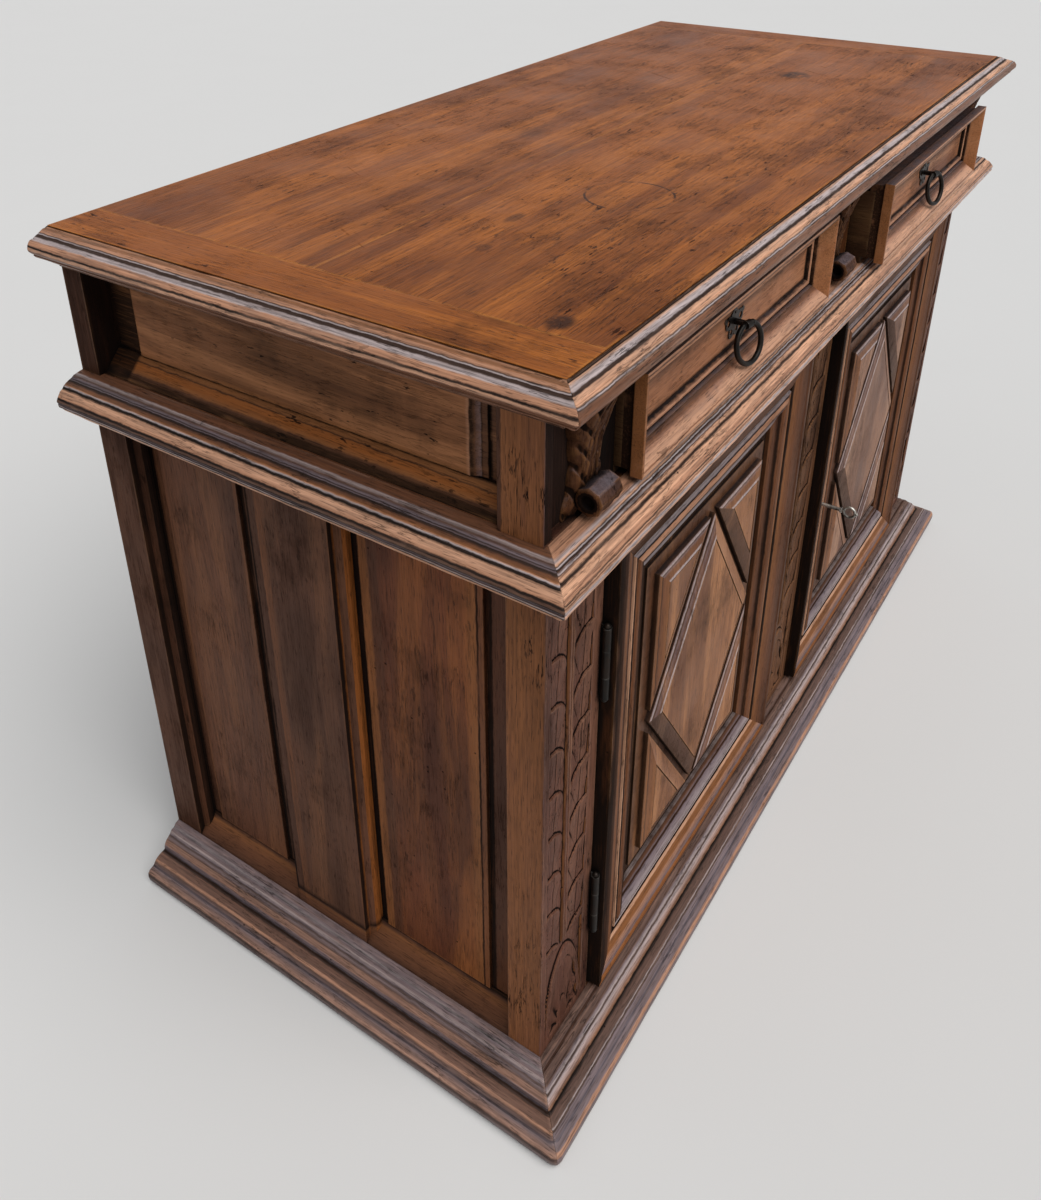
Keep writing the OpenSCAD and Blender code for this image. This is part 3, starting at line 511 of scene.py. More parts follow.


# The tones along each profile, set against the photo: dirt, wax and wear, with painted shade in the quirks,
# grooves and gaps, painted sheen on faces that look up and painted highlights on lit arrises.
BASE_SIDE = ("0:u:45 8:g:40 16:u:50 18.5:d:70 21:d:70 24:p:25 34:g:50 41:u:50 43.4:p:60 45.4:p:60 47:b:40 "
    "56:b:40 58:d:75 61.5:d:80 64:g:45 69:g:50 71:p:35 76:p:30 79:u:50 82:g:45 85:d:60 86.5:g:60 90:l:45 "
    "93:g:60 96:g:60 98.5:l:50 101:g:55")
BASE_FRONT = ("0:b:60 20:g:50 22:p:60 27:p:60 28.5:g:55 43:g:60 44.5:d:75 46:d:75 47:l:60 48.5:u:55 "
    "57:u:55 58.5:k:80 61:k:80 63:p:60 75:l:60 77:d:75 78.5:d:75 80:l:60 83:g:60 85:u:65 88:u:60")
WAIST_SIDE = ("0:c:90 3.2:p:90 4.2:k:95 6:d:90 7:l:85 8:d:90 9.5:d:90 10.6:l:75 12:d:85 13.6:g:80 "
    "14.4:k:90 18.6:u:75 19.6:k:95 21.4:k:95 22.8:p:90 27:c:85 31.5:c:90 34:k:95 36:k:95 37.4:l:90 "
    "38.8:p:80 40:a:85 43:b:85 45:d:90 47:k:90 48.2:g:85 49.4:d:90 50.6:g:85 54:u:80 58.6:l:70 60.5:b:80")
WAIST_FRONT = ("0:a:75 4:p:75 6:c:90 11:c:90 13:l:85 17:l:85 18.5:c:90 20:b:80 21:c:90 22.4:k:95 24:p:80 "
    "27.6:p:80 29:c:95 35.5:c:95 37:d:95 39:d:95 41:c:90 43:c:85 44.5:u:85 46:l:80 48:u:85 49.4:k:95 "
    "50.6:l:90 51.6:d:90 53:c:85 56:l:80 60:p:80")
CORNICE_SIDE = ("0:b:70 13.6:b:70 15:c:90 17:c:85 18.4:k:95 20:k:95 21.4:p:85 27:p:85 28.6:l:80 33.6:l:80 "
    "35.4:d:90 39:d:90 40:l:85 41.2:d:90 42.6:p:85 45:p:85 46.6:a:75 50:a:75 52:p:75 54:a:60")
CORNICE_FRONT = ("0:b:70 14:b:70 18:b:80 24:b:80 25.2:d:90 26.4:l:85 27.4:d:90 29:c:90 37:c:90 38.4:d:90 "
    "41:d:90 42.4:l:85 46:l:85 49.6:c:80 51:d:90 53:d:85 55:a:60")
DOOR_SIDES = {
    "b": "0:o:70 8:a:70 10:g:75 24:p:75 27:a:80 37:a:80 39:c:90 43.5:c:90 44.5:k:95 48:k:95 49.5:l:85 "
        "54.5:l:85 55.3:d:90 56.8:d:90 58:l:80 75:g:80 76.5:d:90 78.5:d:90 80:g:60 84:u:60 89:d:80 92:l:80 "
        "97:l:80 98.5:k:95 104:k:90",
    "t": "44:k:0 47:k:95 49:k:90 50:l:80 54:g:80 55.4:k:90 57:k:90 58.5:p:85 63.6:p:85 65:d:85 67:u:70 "
        "70:g:80 96:l:80 99:k:90 104:k:90",
    "l": "0:k:95 14:k:90 18:d:85 24:d:80 28:b:80 33:a:80 38:b:80 43:u:75 46.5:k:95 49:k:95 50:c:90 "
        "52.6:c:90 53.4:k:95 56:k:95 57.5:b:70 62:b:70 65:k:85 84:d:85 100:k:90 104:k:90",
    "r": "0:u:60 8:u:60 12:u:60 28:b:65 40:a:75 42.5:k:95 48.5:k:95 50:a:80 55.6:a:80 56.4:k:90 58:k:90 "
        "59.5:b:75 71.5:b:75 73.5:k:90 76.5:k:90 79:u:80 88:b:75 92:d:85 97:k:90 104:k:90"}
DRAWER_SIDES = {
    "b": "0:c:85 3.5:c:85 4.6:b:80 6:c:85 12:c:85 15:p:70 18:b:80 23:d:85 24:k:95 26:k:95 27:p:85 31:p:85 "
        "33:k:90 35:k:90 38:k:0",
    "t": "0:p:80 2:p:80 4:d:80 22:d:85 24:k:95 26:k:95 27.5:p:85 31:p:85 33:k:90 36:d:80 44:u:40 52:u:0",
    "l": "0:a:80 3:a:80 5:k:90 22:k:90 24:k:95 26:k:95 27.5:a:80 31:a:80 33:k:95 36:d:80 46:d:0",
    "r": "0:o:70 4:o:60 6:a:60 20:a:60 24:k:95 26:k:95 27.5:p:85 31:p:85 33:k:90 35:k:90 38:k:0"}
UPRIGHT = "364:b:0 368:b:55 373:b:55 374.5:b:80 376:b:80 377.5:u:80 386:u:85 388:k:95 390:k:95"
SILL = "68:d:80 71:u:75 84:b:50 91:a:50 94:u:70 96.5:k:90 100:k:60 106:k:0"
REVEAL = "690:o:85 709:o:85 713:k:90 718:k:90"
FRONT_MARGIN = ("46:d:85 60:d:85 66:u:70 80:u:70 82:k:95 87.5:k:95 89:b:60 94:b:60 95.5:k:90 97:k:90 "
    "98:a:75 103:a:60 112:a:0")
REAR_BEVEL = "222:u:0 227:u:65 237:u:65 240:a:65 249:a:65 251:k:95 262:k:95"
REAR_MARGIN = "400:u:80 423:u:80 426:k:95 430:k:95 431.5:b:80 434:b:70 438:b:0"
POST_SIDE = "-3:g:0 -1:g:60 1:b:70 3:a:60 22:a:60 27:a:70 45:a:65 46.5:u:90"
FRIEZE_HEIGHT = ("819:k:95 827:k:90 829.5:u:85 831:a:80 835:o:85 839:o:80 840:d:85 841.2:a:80 844.5:a:80 "
    "845.6:k:90 848:k:90 849.5:a:50 856:a:0")
FRIEZE_ENDS = ("50:k:80 56:u:75 78:u:75 80:k:95 82:k:95 83:u:80 87:u:80 89:k:90 90.5:g:60 95:u:75 97:k:90 "
    "99:k:90 100.5:p:60 104:p:0")
FRIEZE_BACK = "561:k:0 566:k:92 610:k:95"

# Painted shade, for the niches of the brackets and the faces of the back posts.
BLACK = "0:k:90 1:k:90"
NEARLY_BLACK = "0:k:80 1:k:80"
# The door panels darken with depth to near black on the sunk ground: painted shade with some grime.
GROUND = "-3.2:d:0 -2.4:d:80 2.6:k:85 3.4:d:80 4.2:u:70 5:k:90 7:k:90"
# The sloped rims of the door panels, by the side that they lean to: painted sheen on those that face up and
# painted shade on those that face down or aside.
SLOPES = {(-1, 1): "0:g:70 3:l:70 5:d:80 6.4:u:70 9:g:50 16:u:50 17.4:l:75 20:l:60",
    (0, 1): "0:g:70 3:l:80 5:d:80 6.4:g:60 9:b:60 16:b:60 17.4:l:85 20:l:70",
    (-1, 0): "0:u:75 4:a:70 6:d:80 8:b:70 20:a:70", (-1, -1): "0:d:80 20:u:80",
    (1, 1): "0:a:35 20:p:35", (1, 0): "0:d:70 20:u:70", (0, -1): "0:d:70 20:u:70"}

ornament = [(depth_y, GROUND)] + [(tilted(*lean), stops) for lean, stops in SLOPES.items()]

for side, sign in (("left", -1), ("right", 1)):
    give(f"{side}_side_frame", wood(f"{side}_sides", REAR, "Z", 1 + (sign > 0), "Y", below(0.098), wear=0.4,
        over=[(side_y, UPRIGHT), (reveal, REVEAL), (height_z, SILL)]))
    give(f"{side}_front_panel", wood(f"{side}_panel_a", SIDE, "Z", 4 + sign, figure=0.7, gloss=0.38, wear=0.5,
        over=[(side_y, FRONT_MARGIN), (side_y, REAR_BEVEL)]))
    give(f"{side}_rear_panel", wood(f"{side}_panel_b", REAR, "Z", 5 + sign, figure=0.6, gloss=0.40, wear=0.4,
        over=[(side_y, REAR_MARGIN)]))
# Painted shade: the faces of the back posts that look forward or back are laid nearly black.
give("back_left_post back_right_post", wood("back_posts", BACK_POST, "Z", 7, wear=0.4,
    over=[(face_on, NEARLY_BLACK)]))
give("left_frieze_board right_frieze_board", wood("frieze_boards", FRIEZE, "Y", 8, figure=0.8, gloss=0.40,
    flecks=0.9, wear=0.5, over=[(height_z, FRIEZE_HEIGHT), (over_sill, FRIEZE_ENDS), (depth_y, FRIEZE_BACK)]))
give("frieze_divider", wood("divider", FRAME, "Z", 9))
give("front_top_rail front_bottom_rail", wood("rails", SIDE, "X", 10))
for side, x, seed, tones in (("left", -DOOR_X, 11, FIELD), ("right", DOOR_X, 12, RIGHT_FIELD)):
    level = framed(x / 1000, DOOR_Z / 1000, DOOR_HALF_X / 1000, DOOR_HALF_Z / 1000)
    give(f"{side}_door_frame", wood(f"{side}_door_wood", FRAME, "Z", seed, "X", level, wear=0.5,
        over=rims(DOOR_SIDES, x, DOOR_Z, DOOR_HALF_X, DOOR_HALF_Z, 1.1)))
    give(f"{side}_door_panel", wood(f"{side}_door_field", tones, "Z", seed + 2, figure=0.8, gloss=0.40,
        dust_and_sheen="6c6064", over=ornament))
for side, x, half_x, seed, out in (("left", -327.5, 259.5, 15, 0), ("right", 344.0, 256.0, 16, OPEN)):
    # The drawer's sides: amber on the lip, then black behind it as painted shade in the gap round the drawer.
    ends = f"{-24 - out}:a:80 {-12 - out}:a:80 {-10 - out}:k:92 60:k:92"
    tones = rims(DRAWER_SIDES, x, DRAWER_Z, half_x, DRAWER_HALF_Z) + [(side_y, ends)]
    give(f"{side}_drawer_front", wood(f"{side}_drawer_wood", DRAWER, "X", seed, figure=0.8, gloss=0.40,
        wear=0.4, dust_and_sheen="66626a", over=tones))
give("left_drawer_box right_drawer_box left_guide centre_guide right_guide",
    wood("runner_wood", INNER, "Y", 17, wear=0.4, gloss=0.6))
give("left_drawer_bottom right_drawer_bottom", wood("bottom_wood", INNER, "X", 18, wear=0.3, gloss=0.62))
give("dust_board bottom_board", wood("floor_wood", INNER, "X", 19, wear=0.3, gloss=0.62))
give("lower_back_board upper_back_board", wood("back_wood", BACK_BOARD, "X", 20, wear=0.4, gloss=0.62))
for number, place in enumerate(("front", "rear")):
    give(f"top_{place}_board", wood(f"top_{place}", TOP, "X", 21 + number, figure=0.65, gloss=0.38,
        shine=0.06, streak=(0.62, 1.24), cracks=0.6, flecks=0.9, marks=table_marks))
give("left_cleat right_cleat", wood("top_ends", TOP, "Y", 23, figure=0.65, gloss=0.38, shine=0.06,
    streak=(0.72, 1.2), cracks=0.5, flecks=0.9))
give("left_post_hinges right_post_hinges left_door_hinges right_door_hinges left_pull_plate right_pull_plate "
    "left_ring right_ring lock_case lock_bolt", iron("forged_iron", "1c1a18", "8e8b87", 0.42, 1.0))
give("key", iron("worn_steel", "c4c0b8", "f0ece4", 0.36, 2.0))

MOULDINGS = {}
for seed, kind, tones, on_side, on_front in ((31, "base", BASE_MOULD, BASE_SIDE, BASE_FRONT),
        (33, "waist", MOULD, WAIST_SIDE, WAIST_FRONT), (35, "cornice", MOULD, CORNICE_SIDE, CORNICE_FRONT)):
    for number, (place, grain, streak, stops) in enumerate((("side", "Y", (0.64, 1.26), on_side),
            ("front", "X", (0.66, 1.4), on_front))):
        MOULDINGS[kind, place] = wood(f"{kind}_{place}", tones, grain, seed + number, figure=0.5, gloss=0.38,
            wear=0.4, grime_and_shade=0.9, shine=0.14, streak=streak, cracks=0.6, flecks=0.35, dust_and_sheen="705c54",
            over=[(run, stops)])
# Painted shade: the posts go black where they face or stand behind the brackets, in the niches under the
# cornice.
post_wood = wood("post_wood", POST, "Z", 33, wear=0.35, lips=0.45, grime_and_shade=1.0, cracks=1.0, flecks=0.8,
    streak=(0.72, 1.22), over=[(side_y, POST_SIDE), (bracket_front, BLACK), (recess, BLACK)])
stile_wood = wood("stile_wood", STILE, "Z", 35, wear=0.35, lips=0.6, grime_and_shade=1.0, cracks=1.0, flecks=0.8,
    streak=(0.72, 1.22))
carved_wood = wood("bracket_wood", BRACKET, "Z", 34, grime_and_shade=0.95, lips=0.5, cracks=0.6, flecks=0.8, wear=0.5,
    dust_and_sheen="6c6268")


# Pieces


def shaped(name, points, faces, **values):
    """A mesh in metres, with a value for each point under each name."""
    mesh = bpy.data.meshes.new(name)
    mesh.from_pydata([tuple(p) for p in points], [], faces)
    for key, value in values.items():
        mesh.attributes.new(key, "FLOAT", "POINT").data.foreach_set("value", np.asarray(value, np.float32))
    return mesh


def settle(name, mesh, node, material, sharp, smooth=True):
    """Makes an object of the mesh that stands for a CAD node and rides on the carcase."""
    if smooth:
        mesh.polygons.foreach_set("use_smooth", [True] * len(mesh.polygons))
    mesh.set_sharp_from_angle(angle=math.radians(sharp))
    obj = bpy.data.objects.new(name, mesh)
    bpy.context.scene.collection.objects.link(obj)
    mesh.materials.append(material)
    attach(obj, "carcase")
    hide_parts(node)


def contour(outline, gap=2.6, radius=0.6):
    """A closed outline made finer, its corners eased: points, outward normals and how convex each is."""
    corners = [np.array(p, float) for p in outline]
    corners = [p for i, p in enumerate(corners) if np.linalg.norm(p - corners[i - 1]) > 1e-6]
    turns = []
    for i, p in enumerate(corners):
        a, b = p - corners[i - 1], corners[(i + 1) % len(corners)] - p
        turns.append(math.atan2(a[0] * b[1] - a[1] * b[0], a @ b))
    points = []
    for i, p in enumerate(corners):
        a, b = corners[i - 1], corners[(i + 1) % len(corners)]
        before, after = np.linalg.norm(p - a), np.linalg.norm(b - p)
        ease_by = min(radius, 0.3 * before, 0.3 * after)
        if turns[i] > 0.35 and p[0] > 0.5:
            points += [p + (a - p) / before * ease_by, p + (a - p) / before * 0.25 * ease_by
                + (b - p) / after * 0.25 * ease_by, p + (b - p) / after * ease_by]
        else:
            points.append(p)
        if min(p[0], b[0]) > 0.5:
            steps = int(after / gap)
            points += [p + (b - p) * (k + 1) / (steps + 1) for k in range(steps)]
    points = np.array(points)
    ahead, behind = np.roll(points, -1, 0), np.roll(points, 1, 0)
    tangent = ahead - behind
    normal = np.stack([tangent[:, 1], -tangent[:, 0]], 1)
    normal /= np.maximum(np.linalg.norm(normal, axis=1)[:, None], 1e-9)
    convex = np.zeros(len(points))
    for p, turn in zip(corners, turns):
        if p[0] > 0.5:
            away = np.linalg.norm(points - p, axis=1)
            convex += turn / 0.8 * np.exp(-(away / 1.7) ** 2)
    return points, normal, np.clip(convex, -1, 1)


def moulding(node, outline, side, forward, seed, origin, material, wall):
    """A length of moulding, hand planed and chipped, for a side (-1 or 1) or the front (0). Its run starts at
    origin, and nothing nearer to the posts than wall is rounded at the corners."""
    points, normal, convex = contour(outline)
    run_at = np.concatenate([[0], np.cumsum(np.linalg.norm(np.diff(points, axis=0), axis=1))])
    run_at -= run_at[np.argmin(np.linalg.norm(points - origin, axis=1))]
    high = max(p[1] for p in outline)
    low = min(p[1] for p in outline)
    free = (points[:, 0] > 0.5) & (points[:, 1] < high - 0.01) & (points[:, 1] > low + 0.01)
    length = 2 * (HALF + points[:, 0].max()) if side == 0 else DEPTH + points[:, 0].max() + forward
    count = int(length / 5)
    near = np.array([1.0, 2.0, 3.1, 4.2, 5.6, 7.2, 8.8, 10.6]) / length
    ends = [near, 1 - near] if side == 0 else [near]
    where = np.unique(np.concatenate([np.linspace(0, 1, count + 1)] + ends))[:, None]
    rows, columns = len(where), len(points)
    start = -(HALF + points[:, 0]) if side == 0 else -points[:, 0] - forward
    end = HALF + points[:, 0] if side == 0 else np.full(columns, DEPTH)
    along = start + (end - start) * where
    from_mitre = np.minimum(along - start, end - along) if side == 0 else along - start
    wobble = field(rows, columns, max(count // 30, 2), 3, seed)
    planed = field(rows, columns, count // 5, columns // 3, seed + 1)
    rub = field(rows, columns, count // 4, columns // 2, seed + 2)
    chip = field(rows, columns, count // 2, columns // 2, seed + 3)
    sharp = np.maximum(convex, 0)
    cut = 0.35 * wobble + 0.35 * planed + sharp * (0.25 + 1.0 * rub ** 2 + 14.0 * np.maximum(chip - 0.90, 0))
    cut = cut * free * ease(0, 9, from_mitre)
    reach = points[:, 0] - normal[:, 0] * cut
    rise = points[:, 1] - normal[:, 1] * cut
    # The outer corners are knocked round, most at the foot.
    radius = np.maximum(np.interp(points[:, 1], (26, 40), (12, 4)) * ease(wall, wall + 7, points[:, 0]), 1e-6)
    ahead = radius - np.clip(from_mitre, 0, radius)
    far = np.hypot(ahead, radius)
    onward = ahead - ahead * radius / far
    inward = radius - radius * radius / far
    if side == 0:
        onward = np.where(along - start < end - along, onward, -onward)
        xyz = np.stack([along + onward, -reach - forward + inward, rise], 2)
    else:
        xyz = np.stack([side * (HALF + reach - inward), along + onward, rise], 2)
    index = np.arange(rows * columns).reshape(rows, columns)
    a, b = index[:-1], index[1:]
    quads = np.stack([a, b, np.roll(b, -1, 1), np.roll(a, -1, 1)], 2).reshape(-1, 4)
    caps = [list(index[0]), list(index[-1][::-1])]
    faces = [list(map(int, q)) for q in quads] + [list(map(int, c)) for c in caps]
    if side != 1:
        faces = [f[::-1] for f in faces]
    # The arrises are rubbed pale and the hollows of the profile darkened, grime with painted shade; the front
    # also takes a dark line at each mitre.
    shade = np.clip(convex * (0.75 + 0.5 * rub), -1, 1)
    if side == 0:
        shade = shade * ease(-2, 6, from_mitre) - 0.8 * ease(2.0, 0.0, from_mitre)
    name = f"{node}_worn"
    mesh = shaped(name, metres(xyz.reshape(-1, 3)), faces, edge=(shade * free).reshape(-1),
        run=np.tile(run_at, rows))
    settle(name, mesh, node, material, 34.0)


BASE = [(0, 0), (63.6, 0), (66.6, 8), (67.6, 16), (66.6, 23), (64.6, 25), (55.6, 28), (49.6, 35), (40.6, 38),
    (35, 38.5), (32.6, 39.5), (31.6, 46), (26.6, 53), (25.4, 53.4), (19.6, 58), (18.6, 59.6), (16.6, 62),
    (15.6, 63), (10.6, 64), (6.6, 69), (0, 70)]
WAIST_LINE = [(x, WAIST + z) for x, z in ((0, -42), (39, -41.5), (41, -38), (43, -34), (46, -33), (47, -29.5),
    (46, -27.8), (47.6, -25), (45.6, -21), (40.6, -14), (37.4, -12.4), (36, -11), (33.6, -8), (28.6, -6),
    (27.6, -5.2), (22.6, -4), (21.6, -3.2), (19.6, -2), (13.6, -1), (5.6, 0), (0, 0))]
CORNICE = [(x, HEIGHT + z) for x, z in ((-40, -49), (9, -49), (9, -32), (34.6, -31), (37, -28), (36.4, -26.8),
    (38, -25.5), (42.6, -21), (42.6, -16), (39.6, -11), (35, -8.5), (33.4, -9.4), (32.6, -8), (30.6, -7),
    (27, -6), (20, -2), (17, -1.4), (15.6, -2), (13, 0), (13, -27), (-40, -27))]

for seed, kind, outline, forward, origin, wall in ((100, "base", BASE, 0.0, (63.6, 0), 1.0),
        (120, "waist", WAIST_LINE, 0.0, (41, WAIST - 38), 1.0),
        (140, "cornice", CORNICE, FORWARD, (34.6, HEIGHT - 31), 14.0)):
    for side, where in ((0, "front"), (-1, "left"), (1, "right")):
        moulding(f"{kind}_{where}", outline, side, forward, seed + 5 * side, origin,
            MOULDINGS[kind, "side" if side else "front"], wall)


def carve(name, node, x0, x1, z0, z1, depth, material, step=1.25):
    """Copies a CAD node and cuts carving into its front face between x0 and x1, z0 and z1, in millimetres."""
    columns, rows = int((x1 - x0) / step) + 1, int((z1 - z0) / step) + 1
    xs, zs = np.linspace(x0, x1, columns), np.linspace(z0, z1, rows)
    across, up = np.meshgrid(xs, zs)
    cut = depth(across, up)
    cut[0] = cut[-1] = cut[:, 0] = cut[:, -1] = 0
    smooth = cut.copy()
    for _ in range(3):
        padded = np.pad(smooth, 1, mode="edge")
        smooth = (padded[:-2, 1:-1] + padded[2:, 1:-1] + padded[1:-1, :-2] + padded[1:-1, 2:]) / 4
    # Raised places are rubbed pale and places sunk below their neighbours darkened: grime with painted shade.
    lip = np.clip((smooth - cut) * 2.2, -1, 1)
    front = -MIDDLE / 1000
    low, high = metres((x0, 0, z0)), metres((x1, 0, z1))
    bm = bmesh.new()
    bm.from_mesh(NODES[node].data)
    bmesh.ops.remove_doubles(bm, verts=bm.verts, dist=1e-6)
    for corner, axis in ((low, (1, 0, 0)), (high, (1, 0, 0)), (low, (0, 0, 1)), (high, (0, 0, 1))):
        bmesh.ops.bisect_plane(bm, geom=bm.verts[:] + bm.edges[:] + bm.faces[:], dist=1e-6, plane_co=corner,
            plane_no=axis)

    def within(p):
        return (abs(p.y - front) < TOUCH and low[0] - TOUCH < p.x < high[0] + TOUCH
            and low[2] - TOUCH < p.z < high[2] + TOUCH)

    gone = [f for f in bm.faces if abs(f.normal.y) > 0.99 and all(within(v.co) for v in f.verts)]
    bmesh.ops.delete(bm, geom=gone, context="FACES")
    for axis, places, line, at in ((2, zs / 1000, 0, low[0]), (2, zs / 1000, 0, high[0]),
            (0, xs / 1000, 2, low[2]), (0, xs / 1000, 2, high[2])):
        border = [e for e in bm.edges if len(e.link_faces) == 1
            and all(within(v.co) and abs(v.co[line] - at) < TOUCH for v in e.verts)]
        for e in border:
            a, b = sorted(e.verts, key=lambda v: v.co[axis])
            edge, far = e, b
            for place in places[::-1]:
                if a.co[axis] + TOUCH < place < far.co[axis] - TOUCH:
                    share = (far.co[axis] - place) / (far.co[axis] - a.co[axis])
                    edge_before = edge
                    _, vert = bmesh.utils.edge_split(edge, far, share)
                    edge = next(x for x in vert.link_edges
                        if a in x.verts or x is edge_before and far not in x.verts)
                    far = vert
    for face in bm.faces:
        face.smooth = False
    layer = bm.verts.layers.float.new("edge")
    grid = []
    points = metres(np.stack([across, cut, up], 2))
    for row in range(rows):
        line = []
        for column in range(columns):
            vert = bm.verts.new(points[row, column])
            vert[layer] = lip[row, column]
            line.append(vert)
        grid.append(line)
    for row in range(rows - 1):
        for column in range(columns - 1):
            bm.faces.new((grid[row][column], grid[row][column + 1], grid[row + 1][column + 1],
                grid[row + 1][column])).smooth = True
    near = [v for v in bm.verts if within(v.co)
        and min(abs(v.co[i] - side[i]) for i in (0, 2) for side in (low, high)) < TOUCH]
    bmesh.ops.remove_doubles(bm, verts=near, dist=TOUCH)
    bmesh.ops.recalc_face_normals(bm, faces=bm.faces[:])
    mesh = bpy.data.meshes.new(name)
    bm.to_mesh(mesh)
    bm.free()
    # The normals that the CAD mesh brought no longer fit.
    for stale in [a.name for a in mesh.attributes if "normal" in a.name]:
        mesh.attributes.remove(mesh.attributes[stale])
    settle(name, mesh, node, material, 50.0, False)


def drop(u, z, at_u, at_z, reach_u, reach_z):
    """1 inside a tear drop that points down."""
    dz = (z - at_z) / reach_z
    du = (u - at_u) / (reach_u * np.clip(1.0 - 0.45 * (dz + 1), 0.15, 1.2))
    return ease(1.0, 0.55, np.sqrt(du ** 2 + dz ** 2))


def husks(width, outer, inner, low, high, seed):
    """The cut of a strip carved with husks on both sides of a reeded rib. u starts at the outer edge."""
    middle = (outer + width - inner) / 2
    span = middle - outer - 5
    pitch = 62.0  # from one husk to the next

    def depth(u, z):
        du = np.abs(u - middle)
        reach = np.where(u < middle, u - outer, width - inner - u)
        field_in = ease(-0.6, 0.6, reach) * ease(low - 0.6, low + 0.6, z) * ease(high + 0.6, high - 0.6, z)
        ground = np.full_like(u, 3.6)
        v = np.mod((high - 38 - z) / pitch, 1.0)
        bow = np.sqrt(np.clip(1 - (1 - np.clip(v / 0.42, 0, 1)) ** 2, 0, 1))
        edge = span * 0.92 * np.where(v < 0.42, bow, 1 - 0.42 * (v - 0.42) / 0.58)
        lobe = ease(edge + 1.0, edge - 1.0, reach)
        crown = (0.5 + 2.3 * v ** 1.15 + 1.1 * (reach / span) ** 2
            + 0.5 * ease(1.6, 0.4, np.abs(reach - 0.42 * span)))
        cut = ground * (1 - lobe) + crown * lobe
        rib = 0.4 + 2.0 * ease(1.3, 0.5, du)
        cut = np.where(du < 4.2, rib, cut)
        shell = np.sqrt(((u - middle) / (span + 4)) ** 2 + ((z - low) / 132.0) ** 2)
        around = np.arctan2(u - middle, (z - low) * 0.62 + 6)
        flute = 1.1 + 2.6 * (0.5 + 0.5 * np.cos(around * 11.0)) * ease(0.05, 0.5, shell)
        flute = np.where(shell > 0.84, 0.4, flute)
        flute = np.where(shell < 0.30, 0.5 + 6.0 * shell ** 2, flute)
        low_part = ease(low + 150, low + 138, z)
        inside = ease(1.02, 0.98, shell)
        cut = cut * (1 - low_part) + (ground * (1 - inside) + flute * inside) * low_part
        top_part = ease(high - 52, high - 44, z)
        calyx = 0.6 + 1.4 * np.abs(np.sin((u - outer) / (width - outer - inner) * math.pi * 3)) ** 0.7
        cut = cut * (1 - top_part) + calyx * top_part
        for at_u, at_z in ((-0.55, -24), (0.0, -20), (0.55, -24), (-0.28, -46), (0.3, -48)):
            hole = drop(u, z, middle + at_u * span, high + at_z, 4.2, 13.0)
            cut = np.maximum(cut, 5.4 * hole)
        rows, columns = u.shape
        hand = field(rows, columns, rows // 9, max(columns // 7, 2), seed)
        nick = field(rows, columns, rows // 3, max(columns // 3, 2), seed + 1)
        cut = (cut + 0.9 * (hand - 0.5) + 5 * np.maximum(nick - 0.88, 0)) * field_in
        return np.clip(cut, 0, 6.2)
    return depth


left_cut = husks(POST_WIDTH, 11.0, 17.0, 82.0, 776.0, 51)
right_cut = husks(POST_WIDTH, 11.0, 17.0, 82.0, 776.0, 61)
stile_cut = husks(2 * STILE_HALF, 14.0, 14.0, 84.0, 758.0, 71)
carve("left_post_carved", "front_left_post", -HALF, POST_WIDTH - HALF, CARVED_FOOT, POST_TOP,
    lambda x, z: left_cut(x + HALF, z), post_wood)
carve("right_post_carved", "front_right_post", HALF - POST_WIDTH, HALF, CARVED_FOOT, POST_TOP,
    lambda x, z: right_cut(HALF - x, z), post_wood)
carve("centre_stile_carved", "centre_stile", -STILE_HALF, STILE_HALF, CARVED_FOOT, STILE_TOP,
    lambda x, z: stile_cut(x + STILE_HALF, z), stile_wood)


def grid_faces(rows, columns, closed=False):
    """The faces between rows of points, which are rings where closed."""
    faces = []
    for r in range(rows - 1):
        here, over = r * columns, (r + 1) * columns
        for c in range(columns if closed else columns - 1):
            n = (c + 1) % columns
            faces.append([here + c, here + n, over + n, over + c])
    return faces


# The scroll's turned profile: the way along it from its middle, and the radius there.
SCROLL = ((-15.0, 2.5), (-15.5, 6.6), (-20.4, 7.4), (-21.0, 9.0), (-20.8, 13.4), (-19.4, 15.4), (-12.0, 14.6),
    (-6.0, 15.2), (0.0, 15.9), (6.0, 15.2), (12.0, 14.6), (19.4, 15.4), (20.8, 13.4), (21.0, 9.0),
    (20.4, 7.4), (15.5, 6.6), (15.0, 2.5))
SCROLL_Y, SCROLL_Z, FACETED = -12.0, WAIST + 22, 12.0


def scroll(middle, worn, around=40):
    """The points of the eight-sided scroll, and how convex each is. worn holds how each facet differs."""
    points, edge = [], []
    for k, (along, radius) in enumerate(SCROLL):
        for j in range(around):
            angle = 2 * math.pi * j / around
            facet = angle / (math.pi / 4)
            corner = facet % 1.0
            # The thin parts of the scroll count as hollows and are darkened: grime with painted shade.
            away, convex = radius, -0.9
            if radius > FACETED:
                flat = math.cos(math.pi / 8) / math.cos((corner - 0.5) * math.pi / 4)
                away = radius * flat + worn[k][int(facet) % 8]
                convex = 0.9 * ease(0.25, 0.0, min(corner, 1 - corner))
            y, z = SCROLL_Y + away * math.cos(angle), SCROLL_Z + away * math.sin(angle)
            points.append((middle + along, y, z))
            edge.append(float(convex))
    faces = grid_faces(len(SCROLL), around, closed=True)
    ends = [list(range(around))[::-1], [(len(SCROLL) - 1) * around + j for j in range(around)]]
    return points, edge, faces + ends


